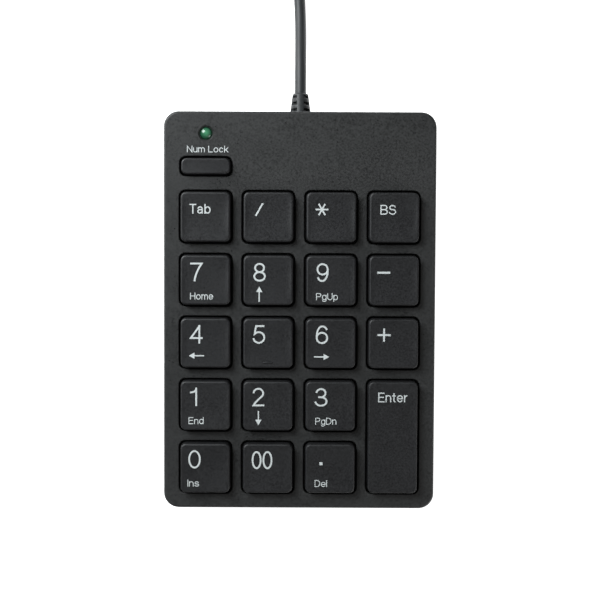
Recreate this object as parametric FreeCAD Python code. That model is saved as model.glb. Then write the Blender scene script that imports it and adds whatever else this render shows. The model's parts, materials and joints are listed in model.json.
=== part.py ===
# Wired numeric keypad: 19 square-windowed keys, a small Num Lock button with its lamp, and a USB lead.
#
# Frame: +X to the user's right, +Y to the rear, +Z up. The origin is on the table, under the middle of the
# case. The deck, which is the top face, leans towards the user. Whatever lies parallel to the deck is modelled
# in deck coordinates: u is +X, v runs up the slope to the rear, n is the height above the deck's top face, and
# their origin is the middle of that face. on_deck() then carries it to the frame. A key travels along -n.
#
# From the top down: keycaps, top cover, guide frame with a square sleeve for each stem, silicone domes, three
# circuit films, steel support plate, bottom cover. The controller board lies behind the films, on their plane.
import FreeCAD, Part
import math
import os

from FreeCAD import Placement, Rotation, Vector

# ---- driving dimensions, in millimetres ----
KEY_PITCH = 19.05  # between columns
ROW_PITCH = 19.14
CASE_WIDTH = 82.8
CASE_DEPTH = 121.0
CASE_CORNER = 4.6
DECK_TILT = 3.0  # degrees
DECK_HEIGHT = 14.8  # from the table to the deck's origin
DECK_THICK = 1.6
WALL = 2.0
EDGE_ROUND = 0.7
PART_HEIGHT = 7.0  # where the two covers meet, and the height of the lead's axis

FOOT_PROUD = 1.0
FLOOR_THICK = 1.8
BASE_ROUND = 1.2
LIP_HEIGHT = 1.5
LIP_THICK = 0.9
FIT_GAP = 0.1  # sliding or assembly clearance on a side
SEAM_BEVEL = 0.25

# ---- keys ----
WINDOW_SIDE = 16.35
WINDOW_CORNER = 2.0
WINDOW_ROUND = 0.25
CAP_SIDE = 14.85  # across the top
CAP_CORNER = 1.5
CAP_DRAFT = 0.3  # growth of each side from the shoulder down to the skirt's rim
CAP_RISE = 2.6
CAP_WALL = 1.0
CAP_SKIRT = 1.4  # below the deck's top face
CAP_ROOF = 1.1
BEVEL_WIDTH = 0.8
BEVEL_DROP = 0.15
DISH_DEPTH = 0.15  # the top is hollow from front to rear
KEY_TRAVEL = 2.2
HALF_WINDOW_OVER_CAP = (WINDOW_SIDE - CAP_SIDE) / 2
STEM_SIDE = 4.0
STEM_FOOT = -4.9
SLEEVE_WALL = 0.9
LATCH_MIDDLE = 5.4
LATCH_THICK = 1.0
LATCH_WIDTH = 2.8
LATCH_NIB = 0.5
LATCH_PLAY = 0.05  # between the nib and the guide frame that stops it
LATCH_GAP = 0.15
LATCH_FOOT = -5.2

NUM_LOCK_SIZE = (14.6, 4.65)
NUM_LOCK_WINDOW = (16.1, 6.15)
NUM_LOCK_RISE = 1.7
NUM_LOCK_TRAVEL = 1.4
NUM_LOCK_WALL = 0.7
NUM_LOCK_STEM = 1.8
NUM_LOCK_SLEEVE_WALL = 0.4
NUM_LOCK_AT = (-1.5 * KEY_PITCH, 43.9)

THIRD_ROW = -9.7  # v of the row that holds 4, 5, 6 and plus
COLUMNS = [-1.5 * KEY_PITCH, -0.5 * KEY_PITCH, 0.5 * KEY_PITCH, 1.5 * KEY_PITCH]
ROWS = [THIRD_ROW + step * ROW_PITCH for step in (2, 1, 0, -1, -2)]
ROW_GAPS = [(rear + front) / 2 for rear, front in zip(ROWS, ROWS[1:])]
KEY_ROWS = [
    ["tab", "slash", "asterisk", "backspace"],
    ["7", "8", "9", "minus"],
    ["4", "5", "6", "plus"],
    ["1", "2", "3", None],
    ["0", "00", "point", None],
]
ENTER_AT = (COLUMNS[3], ROW_GAPS[3])

# ---- layers under the deck, as n ----
GUIDE_TOP = -3.8
GUIDE_BOTTOM = -4.6
SLEEVE_TOP = -1.1
DOME_TOP = -4.95
FILM_THICK = 0.1
FILM_TOP = -8.0
PLATE_TOP = FILM_TOP - 3 * FILM_THICK
PLATE_THICK = 0.5
PLATE_BOTTOM = PLATE_TOP - PLATE_THICK
LAYER_WIDTH = 76.8
LAYER_FRONT = -57.4
LAYER_REAR = 48.2
POST_RADIUS = 1.6
BOSS_HOLE = 2.7

# ---- domes ----
DOME_BASE = 4.6
DOME_CROWN = 2.6
DOME_WALL = 0.5
NUM_LOCK_DOME_BASE = 3.0
NUM_LOCK_DOME_CROWN = 1.6

# ---- the wire that keeps the Enter key level ----
WIRE_RADIUS = 0.5
WIRE_BAR_U = -5.0  # from the key's middle
WIRE_AXIS_N = -1.9
WIRE_ARM = 8.5
WIRE_HALF_SPAN = 11.5
WIRE_TIP = 2.0
WIRE_LIFT = math.asin(KEY_TRAVEL / 2 / WIRE_ARM)  # the arm's slope at rest, in radians

# ---- board, lamp and fasteners ----
BOARD_THICK = 1.0
BOARD_HALF_WIDTH = 33.0
BOARD_FRONT = 49.2
BOARD_REAR = 57.0
BOARD_NOTCH = (7.0, 53.5)  # half its width, and where it starts
LAMP_AT = (COLUMNS[0], 53.9)
LAMP_RADIUS = 1.5
LAMP_HOLE = 1.95
LAMP_TOP = 0.25
CLAMP_AT = 51.2
CLAMP_SCREW_U = 18.5
SCREW_RADIUS = 1.1
SCREW_HEAD = 2.3
SCREW_HEAD_HEIGHT = 1.2
SCREW_LENGTH = 6.8
SCREW_SHELF = 1.0  # between the boss's foot and the screw's head
BOSS_RADIUS = 2.1
BOSS_DROP = 9.5  # from the deck down to the boss's foot
CASE_SCREWS = [(0.0, ROW_GAPS[3])]
CASE_SCREWS += [(side * KEY_PITCH, ROW_GAPS[1]) for side in (-1, 1)]
CASE_SCREWS += [(side * 36.3, 51.5) for side in (-1, 1)]
FOOT_SIZE = (12.0, 5.0)
FOOT_SINK = 0.5
FEET = [(27.0 * side, 54.3 * end) for end in (-1, 1) for side in (-1, 1)]
LABEL_SIZE = (46.0, 24.0)
LABEL_SINK = 0.15

# ---- lead and plug ----
CORD_RADIUS = 1.75
RELIEF_ROOT = 3.25
RELIEF_TIP = 2.45
RELIEF_END = 67.5  # y of its tip
RELIEF_BEVEL = 0.45
RELIEF_COLLAR = 0.9  # from the tip to the first slot
RELIEF_RIBS = 3
RIB_PITCH = 2.05
RELIEF_SLOT = 0.78
RELIEF_SPINE = 1.0  # half the width left between the slots
RELIEF_WEB = 0.6  # half the height left between the upper slots and the lower ones
COIL_TURN_RADIUS = 18.2  # at the middle of the turns
COIL_COLUMNS = 3
COIL_LAYERS = 4
COIL_HALF_WIDTH = COIL_COLUMNS * CORD_RADIUS + 0.1
COIL_HEIGHT = COIL_LAYERS * 2 * CORD_RADIUS + 0.1
COIL_AT = (21.7, 131.0)
TIE_THICK = 0.6
TIE_WIDTH = 5.0
PLUG_GRIP = (15.0, 7.8, 20.0)  # across, high, long
PLUG_NECK = (2.4, 3.3, 5.0)  # its radius at the lead, its radius at the grip, its length
PLUG_SHELL = (12.0, 4.5, 12.0)
PLUG_SHEET = 0.3

TILT = math.radians(DECK_TILT)
BIG = 200.0


def on_deck(shape):
    """The shape, taken from deck coordinates to the part's frame."""
    moved = shape.copy()
    place = Placement(Vector(0, 0, DECK_HEIGHT), Rotation(Vector(1, 0, 0), DECK_TILT))
    moved.Placement = place.multiply(moved.Placement)
    return moved


def deck_height_at(y, n=0.0):
    """z of the plane n above the deck, over a point of the table."""
    return DECK_HEIGHT + y * math.tan(TILT) + n / math.cos(TILT)


def rounded_outline(width, depth, radius, z=0.0, middle=(0.0, 0.0)):
    """A rectangle with round corners, as a closed wire."""
    x, y = width / 2, depth / 2
    edges = []
    for quarter, (sx, sy) in enumerate([(1, 1), (-1, 1), (-1, -1), (1, -1)]):
        centre = Vector(middle[0] + sx * (x - radius), middle[1] + sy * (y - radius), z)
        points = []
        for share in (0, 0.5, 1):
            angle = math.radians(90 * (quarter + share))
            points.append(centre + Vector(radius * math.cos(angle), radius * math.sin(angle), 0))
        edges.append(points)
    made = []
    for index, points in enumerate(edges):
        made.append(Part.Arc(*points).toShape())
        made.append(Part.LineSegment(points[2], edges[(index + 1) % 4][0]).toShape())
    return Part.Wire(made)


def rounded_prism(width, depth, radius, low, high, middle=(0.0, 0.0)):
    face = Part.Face(rounded_outline(width, depth, radius, low, middle))
    return face.extrude(Vector(0, 0, high - low))


def block(low, high):
    """A box from its lowest and its highest corner."""
    size = [b - a for a, b in zip(low, high)]
    return Part.makeBox(*size, Vector(*low))


def cylinder(radius, low, high, at=(0.0, 0.0)):
    return Part.makeCylinder(radius, high - low, Vector(at[0], at[1], low))


def moved_to(shape, at):
    placed = shape.copy()
    placed.translate(Vector(at[0], at[1], 0))
    return placed


def above_plane(n):
    """Everything above the plane n, in the part's frame."""
    return on_deck(block((-BIG, -BIG, n), (BIG, BIG, n + BIG)))


def key_places():
    """Each key's name, middle and size across the top, in deck coordinates."""
    places = [("num_lock", NUM_LOCK_AT, NUM_LOCK_SIZE)]
    for v, names in zip(ROWS, KEY_ROWS):
        for u, name in zip(COLUMNS, names):
            if name:
                places.append((name, (u, v), (CAP_SIDE, CAP_SIDE)))
    places.append(("enter", ENTER_AT, (CAP_SIDE, CAP_SIDE + ROW_PITCH)))
    return places


def window_size(name, size):
    if name == "num_lock":
        return NUM_LOCK_WINDOW
    return (size[0] + 2 * HALF_WINDOW_OVER_CAP, size[1] + 2 * HALF_WINDOW_OVER_CAP)


def stem_of(name):
    """The stem's side and its sleeve's wall."""
    if name == "num_lock":
        return NUM_LOCK_STEM, NUM_LOCK_SLEEVE_WALL
    return STEM_SIDE, SLEEVE_WALL


def latch_width(name):
    return NUM_LOCK_STEM if name == "num_lock" else LATCH_WIDTH


def latch_turns(name):
    """Which way the two latch arms lie from the stem, in degrees; the Enter key's keep clear of its wire."""
    return (90, 270) if name == "enter" else (0, 180)


def turned(shape, degrees):
    spun = shape.copy()
    spun.rotate(Vector(0, 0, 0), Vector(0, 0, 1), degrees)
    return spun


# ---- keycaps ----
def keycap(name, size):
    """A hollow cap with a dished top, a square stem and two latch arms, in deck coordinates."""
    width, depth = size
    rise = NUM_LOCK_RISE if name == "num_lock" else CAP_RISE
    wall = NUM_LOCK_WALL if name == "num_lock" else CAP_WALL
    stem, _ = stem_of(name)
    roof = rise - CAP_ROOF
    rim = rounded_outline(width + 2 * CAP_DRAFT, depth + 2 * CAP_DRAFT, CAP_CORNER + CAP_DRAFT, -CAP_SKIRT)
    shoulder = rounded_outline(width, depth, CAP_CORNER, rise - BEVEL_DROP)
    crown = rounded_outline(width - 2 * BEVEL_WIDTH, depth - 2 * BEVEL_WIDTH, CAP_CORNER, rise)
    cap = Part.makeLoft([rim, shoulder], True, True).fuse(Part.makeLoft([shoulder, crown], True, True))
    cap = cap.removeSplitter()
    dish_depth = depth - 2 * BEVEL_WIDTH
    radius = dish_depth**2 / (8 * DISH_DEPTH) + DISH_DEPTH / 2
    axis_start = Vector(-width, 0, rise - DISH_DEPTH + radius)
    dish = Part.makeCylinder(radius, width * 2, axis_start, Vector(1, 0, 0))
    dish = dish.common(rounded_prism(width - 2 * BEVEL_WIDTH, dish_depth, CAP_CORNER, rise - 1, rise + 1))
    cap = cap.cut(dish)
    inner_width = width + 2 * CAP_DRAFT - 2 * wall
    inner_depth = depth + 2 * CAP_DRAFT - 2 * wall
    inner_taper = CAP_DRAFT * (roof + CAP_SKIRT) / (rise - BEVEL_DROP + CAP_SKIRT)
    corner = max(CAP_CORNER - wall, 0.5)
    hollow = Part.makeLoft(
        [
            rounded_outline(inner_width, inner_depth, corner + CAP_DRAFT, -CAP_SKIRT),
            rounded_outline(inner_width - 2 * inner_taper, inner_depth - 2 * inner_taper, corner, roof),
        ],
        True,
        True,
    )
    cap = cap.cut(hollow)
    overlap = 0.2  # how far the stem and arms run into the roof
    pieces = [rounded_prism(stem, stem, stem / 5, STEM_FOOT, roof + overlap)]
    half = latch_width(name) / 2
    inner, outer = LATCH_MIDDLE - LATCH_THICK / 2, LATCH_MIDDLE + LATCH_THICK / 2
    for turn in latch_turns(name):
        arm = block((inner, -half, LATCH_FOOT), (outer, half, roof + overlap))
        nib_top = GUIDE_BOTTOM - LATCH_PLAY
        nib = block((outer - overlap, -half, LATCH_FOOT), (outer + LATCH_NIB, half, nib_top))
        pieces += [turned(arm, turn), turned(nib, turn)]
    if name == "enter":
        pieces += wire_lugs(roof + overlap)
    return cap.multiFuse(pieces).removeSplitter()


def wire_tip_place():
    """u and n of the wire's two tips at rest, from the key's middle."""
    return WIRE_BAR_U + WIRE_ARM * math.cos(WIRE_LIFT), WIRE_AXIS_N + WIRE_ARM * math.sin(WIRE_LIFT)


def wire_lugs(top):
    """The two slotted lugs under the Enter key that the wire's tips slide in."""
    u, n = wire_tip_place()
    lugs = []
    for side in (-1, 1):
        near = side * (WIRE_HALF_SPAN + WIRE_RADIUS + 0.3)
        far = side * (WIRE_HALF_SPAN + WIRE_TIP - 0.2)
        low, high = sorted((near, far))
        lug = block((u - 2.0, low, n - 1.2), (u + 2.0, high, top))
        reach = WIRE_RADIUS + FIT_GAP
        slot = block((u - 1.1, low - 1, n - reach), (u + 1.1, high + 1, n + reach))
        lugs.append(lug.cut(slot))
    return lugs


def key_dome(name):
    """A hollow silicone dome with a flange, a sloping skirt, a thick crown and a nub inside."""
    small = name == "num_lock"
    base = NUM_LOCK_DOME_BASE if small else DOME_BASE
    crown = NUM_LOCK_DOME_CROWN if small else DOME_CROWN
    nub = crown / 2
    flange, crown_thick, clear = 0.35, 1.1, 1.0
    outer_root = base - 0.7
    profile = [
        (base, FILM_TOP),
        (base, FILM_TOP + flange),
        (outer_root, FILM_TOP + flange),
        (crown, DOME_TOP - 0.9),
        (crown, DOME_TOP),
        (0, DOME_TOP),
        (0, FILM_TOP + clear),
        (nub, FILM_TOP + clear),
        (nub, DOME_TOP - crown_thick),
        (crown - DOME_WALL, DOME_TOP - crown_thick),
        (outer_root - DOME_WALL, FILM_TOP),
    ]
    points = [Vector(r, 0, n) for r, n in profile]
    face = Part.Face(Part.makePolygon(points + points[:1]))
    return face.revolve(Vector(0, 0, 0), Vector(0, 0, 1), 360)


# ---- covers ----
def case_prism(inset, low, high):
    """A prism with the case's outline, drawn in by the inset."""
    return rounded_prism(CASE_WIDTH - 2 * inset, CASE_DEPTH - 2 * inset, CASE_CORNER - inset, low, high)


def top_cover():
    body = case_prism(0, PART_HEIGHT, PART_HEIGHT + 30).cut(above_plane(0))
    rim = [edge for edge in body.Edges if all(on_plane(vertex.Point) for vertex in edge.Vertexes)]
    body = body.makeFillet(EDGE_ROUND, rim)
    body = body.makeChamfer(SEAM_BEVEL, level_edges(body, PART_HEIGHT))
    body = body.cut(case_prism(WALL, 0, PART_HEIGHT + 30).cut(above_plane(-DECK_THICK)))
    groove = WALL - LIP_THICK - FIT_GAP
    body = body.cut(case_prism(groove, PART_HEIGHT - 1, PART_HEIGHT + LIP_HEIGHT + FIT_GAP))
    windows = []
    for name, at, size in key_places():
        width, depth = window_size(name, size)
        windows.append(rounded_prism(width, depth, WINDOW_CORNER, -DECK_THICK - 1, 1, at))
    lamp_hole = cylinder(LAMP_HOLE, -DECK_THICK - 1, 1, LAMP_AT)
    body = body.cut(on_deck(Part.makeCompound(windows + [lamp_hole])))
    edges = [edge for edge in body.Edges if on_window_rim(edge)]
    body = body.makeFillet(WINDOW_ROUND, edges)
    lamp_cone = Part.makeCone(LAMP_HOLE, LAMP_HOLE + 0.5, 0.5, Vector(LAMP_AT[0], LAMP_AT[1], -0.5))
    body = body.cut(on_deck(lamp_cone))
    for x, y in CASE_SCREWS:
        foot = deck_height_at(y) - BOSS_DROP
        boss = cylinder(BOSS_RADIUS, foot, deck_height_at(y), (x, y)).cut(above_plane(-DECK_THICK / 2))
        body = body.fuse(boss)
        bore_top = foot + SCREW_LENGTH - SCREW_SHELF + 0.3
        body = body.cut(cylinder(SCREW_RADIUS + 0.02, foot - 1, bore_top, (x, y)))
    return body.cut(relief_seat()).removeSplitter()


def level_edges(shape, z):
    """The edges of a shape that lie at one height."""
    return [edge for edge in shape.Edges if all(abs(vertex.Z - z) < 1e-6 for vertex in edge.Vertexes)]


def on_plane(point, n=0.0):
    return abs((point.z - DECK_HEIGHT) * math.cos(TILT) - point.y * math.sin(TILT) - n) < 1e-5


def on_window_rim(edge):
    """Whether an edge is the top rim of a key's window."""
    if not all(on_plane(vertex.Point) for vertex in edge.Vertexes) or not edge.Vertexes:
        return False
    middle = edge.CenterOfMass
    u, v = middle.x, middle.y / math.cos(TILT)
    for name, at, size in key_places():
        width, depth = window_size(name, size)
        if abs(u - at[0]) < width / 2 + 0.1 and abs(v - at[1]) < depth / 2 + 0.1:
            return True
    return False


def bottom_cover():
    low = FOOT_PROUD
    floor = low + FLOOR_THICK
    body = case_prism(0, low, PART_HEIGHT)
    under = [edge for edge in body.Edges if all(abs(vertex.Z - low) < 1e-6 for vertex in edge.Vertexes)]
    body = body.makeFillet(BASE_ROUND, under)
    body = body.makeChamfer(SEAM_BEVEL, level_edges(body, PART_HEIGHT))
    body = body.cut(case_prism(WALL, floor, PART_HEIGHT + 5))
    lip = case_prism(WALL - LIP_THICK, PART_HEIGHT - 1, PART_HEIGHT + LIP_HEIGHT)
    body = body.fuse(lip.cut(case_prism(WALL, 0, PART_HEIGHT + 5)))
    body = body.multiFuse(support_ribs(floor) + board_pillars(floor))
    for x, y in CASE_SCREWS:
        foot = deck_height_at(y) - BOSS_DROP
        pillar = cylinder(SCREW_HEAD + 1.0, floor - 0.5, foot, (x, y))
        body = body.fuse(pillar)
        body = body.cut(cylinder(SCREW_RADIUS + 0.15, 0, foot + 1, (x, y)))
        body = body.cut(cylinder(SCREW_HEAD + 0.2, 0, foot - SCREW_SHELF, (x, y)))
    for at in FEET:
        body = body.cut(rounded_prism(*FOOT_SIZE, FOOT_SIZE[1] / 2 - 0.01, 0, low + FOOT_SINK, at))
    body = body.cut(rounded_prism(*LABEL_SIZE, 1.5, 0, low + LABEL_SINK))
    return body.cut(relief_seat()).removeSplitter()


def support_ribs(floor):
    """Lengthways and crossways ribs whose sloping tops carry the support plate."""
    under_plate = above_plane(PLATE_BOTTOM)
    thick = 1.2
    front, rear = -CASE_DEPTH / 2 + WALL / 2, 46.0
    side = CASE_WIDTH / 2 - WALL / 2
    ribs = []
    for x in (-30.0, -KEY_PITCH - 5, -5.5, 5.5, KEY_PITCH + 5, 30.0):
        ribs.append(block((x - thick / 2, front, floor - 0.5), (x + thick / 2, rear, 20)))
    for y in (-19.0, rear):
        ribs.append(block((-side, y - thick / 2, floor - 0.5), (side, y + thick / 2, 20)))
    return [rib.cut(under_plate) for rib in ribs]


def board_pillars(floor):
    """Two pillars that the controller board is screwed down on."""
    under_board = above_plane(PLATE_TOP - BOARD_THICK)
    pillars = []
    for side in (-1, 1):
        foot_y = CLAMP_AT * math.cos(TILT) - (PLATE_TOP - BOARD_THICK) * math.sin(TILT)
        pillar = cylinder(2.4, floor - 0.5, 20, (side * CLAMP_SCREW_U, foot_y)).cut(under_board)
        bore = on_deck(cylinder(0.95, -13.5, 0, (side * CLAMP_SCREW_U, CLAMP_AT)))
        pillars.append(pillar.cut(bore))
    return pillars


def relief_seat():
    """The round hole through the rear wall, half in each cover, with room for the strain relief's flange."""
    rear = CASE_DEPTH / 2
    hole = Part.makeCylinder(RELIEF_ROOT + 0.05, 10, Vector(0, rear - 5, PART_HEIGHT), Vector(0, 1, 0))
    flange = block((-4.6, rear - WALL - 2, PART_HEIGHT - 4.0), (4.6, rear - WALL + 0.8, PART_HEIGHT + 4.0))
    return hole.fuse(flange)


# ---- inner layers ----
def layer(top, thick, shrink=0.0):
    """A sheet parallel to the deck with a clearance hole around each boss, in deck coordinates."""
    depth = LAYER_REAR - LAYER_FRONT - 2 * shrink
    middle = (0.0, (LAYER_REAR + LAYER_FRONT) / 2)
    sheet = rounded_prism(LAYER_WIDTH - 2 * shrink, depth, 2.0, top - thick, top, middle)
    holes = []
    for x, y in CASE_SCREWS[:3]:
        v = y / math.cos(TILT)
        holes.append(cylinder(BOSS_HOLE, top - thick - 1, top + 1, (x, v)))
    return sheet.cut(Part.makeCompound(holes))


def guide_frame():
    frame = layer(GUIDE_TOP, GUIDE_TOP - GUIDE_BOTTOM)
    for name, at, size in key_places():
        stem, wall = stem_of(name)
        outside = stem + 2 * FIT_GAP + 2 * wall
        frame = frame.fuse(rounded_prism(outside, outside, wall, GUIDE_BOTTOM, SLEEVE_TOP, at))
    cuts = []
    for name, at, size in key_places():
        stem, _ = stem_of(name)
        bore = stem + 2 * FIT_GAP
        cuts.append(rounded_prism(bore, bore, stem / 5, GUIDE_BOTTOM - 1, SLEEVE_TOP + 1, at))
        half = latch_width(name) / 2 + LATCH_GAP
        near, far = LATCH_MIDDLE - LATCH_THICK / 2 - LATCH_GAP, LATCH_MIDDLE + LATCH_THICK / 2 + LATCH_GAP
        slot = block((near, -half, GUIDE_BOTTOM - 1), (far, half, GUIDE_TOP + 1))
        for turn in latch_turns(name):
            cuts.append(moved_to(turned(slot, turn), at))
    frame = frame.cut(Part.makeCompound(cuts))
    posts = []
    for u, v in post_places():
        posts.append(cylinder(POST_RADIUS, FILM_TOP, GUIDE_BOTTOM + 0.2, (u, v)))
        posts.append(cylinder(POST_RADIUS - 0.5, GUIDE_TOP - 0.2, -DECK_THICK, (u, v)))
    frame = frame.multiFuse(posts)
    return wire_seats(frame).removeSplitter()


def post_places():
    """Where the column gaps cross the row gaps, apart from the crossings that the case screws use."""
    crossings = []
    for row, v in enumerate(ROW_GAPS):
        for u in (-KEY_PITCH, 0.0, KEY_PITCH):
            taken = any(math.hypot(u - x, v - y) < 3 for x, y in CASE_SCREWS)
            beside_enter = row == 3 and u > 0
            if not taken and not beside_enter:
                crossings.append((u, v))
    return crossings


def wire_seats(frame):
    """Adds the two snap hooks for the wire's bar, and the pockets that the Enter key's lugs sink into."""
    bar_u = ENTER_AT[0] + WIRE_BAR_U
    tip_u, _ = wire_tip_place()
    groove_start = Vector(bar_u, ENTER_AT[1] - 30, WIRE_AXIS_N)
    groove = Part.makeCylinder(WIRE_RADIUS + 0.08, 60, groove_start, Vector(0, 1, 0))
    for side in (-1, 1):
        v = ENTER_AT[1] + side * (WIRE_HALF_SPAN - 3.0)
        hook = block((bar_u - 1.2, v - 1.0, GUIDE_TOP - 0.2), (bar_u + 1.2, v + 1.0, WIRE_AXIS_N + 0.9))
        half_mouth = WIRE_RADIUS * 0.8
        mouth = block((bar_u - half_mouth, v - 1.0, WIRE_AXIS_N), (bar_u + half_mouth, v + 1.0, 0))
        frame = frame.fuse(hook).cut(mouth)
        near = side * (WIRE_HALF_SPAN - WIRE_RADIUS - 0.5)
        far = side * (WIRE_HALF_SPAN + WIRE_TIP + 0.4)
        low, high = sorted((ENTER_AT[1] + near, ENTER_AT[1] + far))
        pocket_u = ENTER_AT[0] + tip_u
        pocket = block((pocket_u - 2.3, low, GUIDE_BOTTOM - 1), (pocket_u + 2.3, high, GUIDE_TOP + 1))
        frame = frame.cut(pocket)
    return frame.cut(groove)


def stabiliser_wire():
    """A U of spring wire: a bar along v, two arms that rise to the key's lugs, and two tips turned outwards."""
    tip_u, tip_n = wire_tip_place()
    bar_u, n = ENTER_AT[0] + WIRE_BAR_U, WIRE_AXIS_N
    tip_u += ENTER_AT[0]
    middle = ENTER_AT[1]
    bend = 1.2
    slope = Vector(tip_u - bar_u, 0, tip_n - n).normalize()
    path = []
    corners = [
        Vector(tip_u, middle - WIRE_HALF_SPAN - WIRE_TIP, tip_n),
        Vector(tip_u, middle - WIRE_HALF_SPAN, tip_n),
        Vector(bar_u, middle - WIRE_HALF_SPAN, n),
        Vector(bar_u, middle + WIRE_HALF_SPAN, n),
        Vector(tip_u, middle + WIRE_HALF_SPAN, tip_n),
        Vector(tip_u, middle + WIRE_HALF_SPAN + WIRE_TIP, tip_n),
    ]
    along = Vector(0, 1, 0)
    headings = [along, -slope, along, slope, along]
    start = corners[0]
    for corner, before, after in zip(corners[1:5], headings, headings[1:]):
        arc_start = corner - before * bend
        arc_end = corner + after * bend
        centre = corner - before * bend + after * bend
        knee = centre + (corner - centre).normalize() * bend
        path.append(Part.LineSegment(start, arc_start).toShape())
        path.append(Part.Arc(arc_start, knee, arc_end).toShape())
        start = arc_end
    path.append(Part.LineSegment(start, corners[5]).toShape())
    section = Part.Wire(Part.Circle(corners[0], along, WIRE_RADIUS).toShape())
    return Part.Wire(path).makePipeShell([section], True, True)


def circuit_film(number, tail_at):
    """One film of the stack; number 0 is the top one. tail_at is its tail's middle, or None for the spacer."""
    top = FILM_TOP - number * FILM_THICK
    film = layer(top, FILM_THICK, 0.4)
    if tail_at is not None:
        rear = CLAMP_AT + 1.4
        tail = block((tail_at - 6.5, LAYER_REAR - 2.5, top - FILM_THICK), (tail_at + 6.5, rear, top))
        return film.fuse(tail).removeSplitter()
    contacts = [cylinder(NUM_LOCK_DOME_CROWN, top - 1, top + 1, at) for _, at, _ in key_places()]
    return film.cut(Part.makeCompound(contacts))


def controller_board():
    low, high = PLATE_TOP - BOARD_THICK, PLATE_TOP
    board = block((-BOARD_HALF_WIDTH, BOARD_FRONT, low), (BOARD_HALF_WIDTH, BOARD_REAR, high))
    half, start = BOARD_NOTCH
    cuts = [block((-half, start, PLATE_TOP - 5), (half, BOARD_REAR + 1, 0))]
    for side in (-1, 1):
        cuts.append(cylinder(1.0, PLATE_TOP - 5, 0, (side * CLAMP_SCREW_U, CLAMP_AT)))
        cuts.append(cylinder(0.4, PLATE_TOP - 5, 0, (LAMP_AT[0] + side * 1.27, LAMP_AT[1])))
    return board.cut(Part.makeCompound(cuts))


def board_components():
    """The controller chip, a crystal and four small chips, standing on the board."""
    sizes = [((14.5, 55.0), (9.0, 3.4, 1.5)), ((25.5, 55.0), (4.6, 1.8, 1.2))]
    sizes += [((-22.5 + 3.4 * step, 55.2), (2.0, 1.2, 0.6)) for step in range(4)]
    parts = []
    for (u, v), (width, depth, height) in sizes:
        low = (u - width / 2, v - depth / 2, PLATE_TOP)
        parts.append(block(low, (u + width / 2, v + depth / 2, PLATE_TOP + height)))
    return Part.makeCompound(parts)


def film_clamp():
    bar = block((-21.0, CLAMP_AT - 1.5, FILM_TOP), (21.0, CLAMP_AT + 1.5, FILM_TOP + 1.4))
    holes = [cylinder(1.0, -20, 0, (side * CLAMP_SCREW_U, CLAMP_AT)) for side in (-1, 1)]
    return bar.cut(Part.makeCompound(holes))


def clamp_screws():
    screws = []
    for side in (-1, 1):
        at = (side * CLAMP_SCREW_U, CLAMP_AT)
        seat = FILM_TOP + 1.4
        screws.append(on_deck(cylinder(1.45, seat, seat + 0.9, at).fuse(cylinder(0.9, -13.0, seat, at))))
    return screws


def lamp():
    """A 3 mm lamp: a flange, a barrel and a round nose."""
    base = -4.8
    barrel_top = LAMP_TOP - LAMP_RADIUS
    nose = Part.makeSphere(LAMP_RADIUS, Vector(LAMP_AT[0], LAMP_AT[1], barrel_top))
    body = cylinder(LAMP_RADIUS, base, barrel_top, LAMP_AT).fuse(nose)
    return body.fuse(cylinder(LAMP_RADIUS + 0.4, base, base + 0.9, LAMP_AT)).removeSplitter()


# ---- fasteners and feet ----
def screws():
    """Five pan-head case screws driven up through the bottom cover, and the two that hold the film clamp."""
    made = clamp_screws()
    slot_long, slot_wide, slot_deep = 1.3, 0.3, 0.7
    for x, y in CASE_SCREWS:
        seat = deck_height_at(y) - BOSS_DROP - SCREW_SHELF
        head = seat - SCREW_HEAD_HEIGHT
        screw = cylinder(SCREW_HEAD, head, seat, (x, y))
        screw = screw.fuse(cylinder(SCREW_RADIUS, seat, seat + SCREW_LENGTH, (x, y)))
        for half_x, half_y in ((slot_long, slot_wide), (slot_wide, slot_long)):
            slot_corner = (x + half_x, y + half_y, head + slot_deep)
            screw = screw.cut(block((x - half_x, y - half_y, head - 1), slot_corner))
        made.append(screw)
    return Part.makeCompound(made)


def rubber_feet():
    feet = []
    for at in FEET:
        width, depth = FOOT_SIZE[0] - 0.3, FOOT_SIZE[1] - 0.3
        foot = rounded_prism(width, depth, depth / 2 - 0.01, 0, FOOT_PROUD + FOOT_SINK, at)
        rim = [edge for edge in foot.Edges if all(abs(vertex.Z) < 1e-6 for vertex in edge.Vertexes)]
        feet.append(foot.makeFillet(0.3, rim))
    return Part.makeCompound(feet)


# ---- lead ----
def strain_relief():
    """A tapered sleeve moulded on the lead, slotted at its four corners, with a flange inside the wall."""
    rear = CASE_DEPTH / 2
    rearward = Vector(0, 1, 0)
    length = RELIEF_END - RELIEF_BEVEL - rear
    start, end = Vector(0, rear, PART_HEIGHT), Vector(0, rear + length, PART_HEIGHT)
    root = Part.makeCylinder(RELIEF_ROOT, WALL, Vector(0, rear - WALL, PART_HEIGHT), rearward)
    taper = Part.makeCone(RELIEF_ROOT, RELIEF_TIP, length, start, rearward)
    tip = Part.makeCone(RELIEF_TIP, RELIEF_TIP - RELIEF_BEVEL, RELIEF_BEVEL, end, rearward)
    flange = block((-4.5, rear - WALL - 1.4, PART_HEIGHT - 3.9), (4.5, rear - WALL + 0.7, PART_HEIGHT + 3.9))
    body = root.multiFuse([taper, tip, flange])
    for rib in range(RELIEF_RIBS):
        y = RELIEF_END - RELIEF_COLLAR - rib * RIB_PITCH
        for side in (-1, 1):
            left, right = sorted((side * RELIEF_SPINE, side * 5))
            for level in (-1, 1):
                low, high = sorted((PART_HEIGHT + level * RELIEF_WEB, PART_HEIGHT + level * 5))
                body = body.cut(block((left, y - RELIEF_SLOT, low), (right, y, high)))
    core = Part.makeCylinder(CORD_RADIUS, length, start, rearward)
    return body.fuse(core).removeSplitter()


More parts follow.
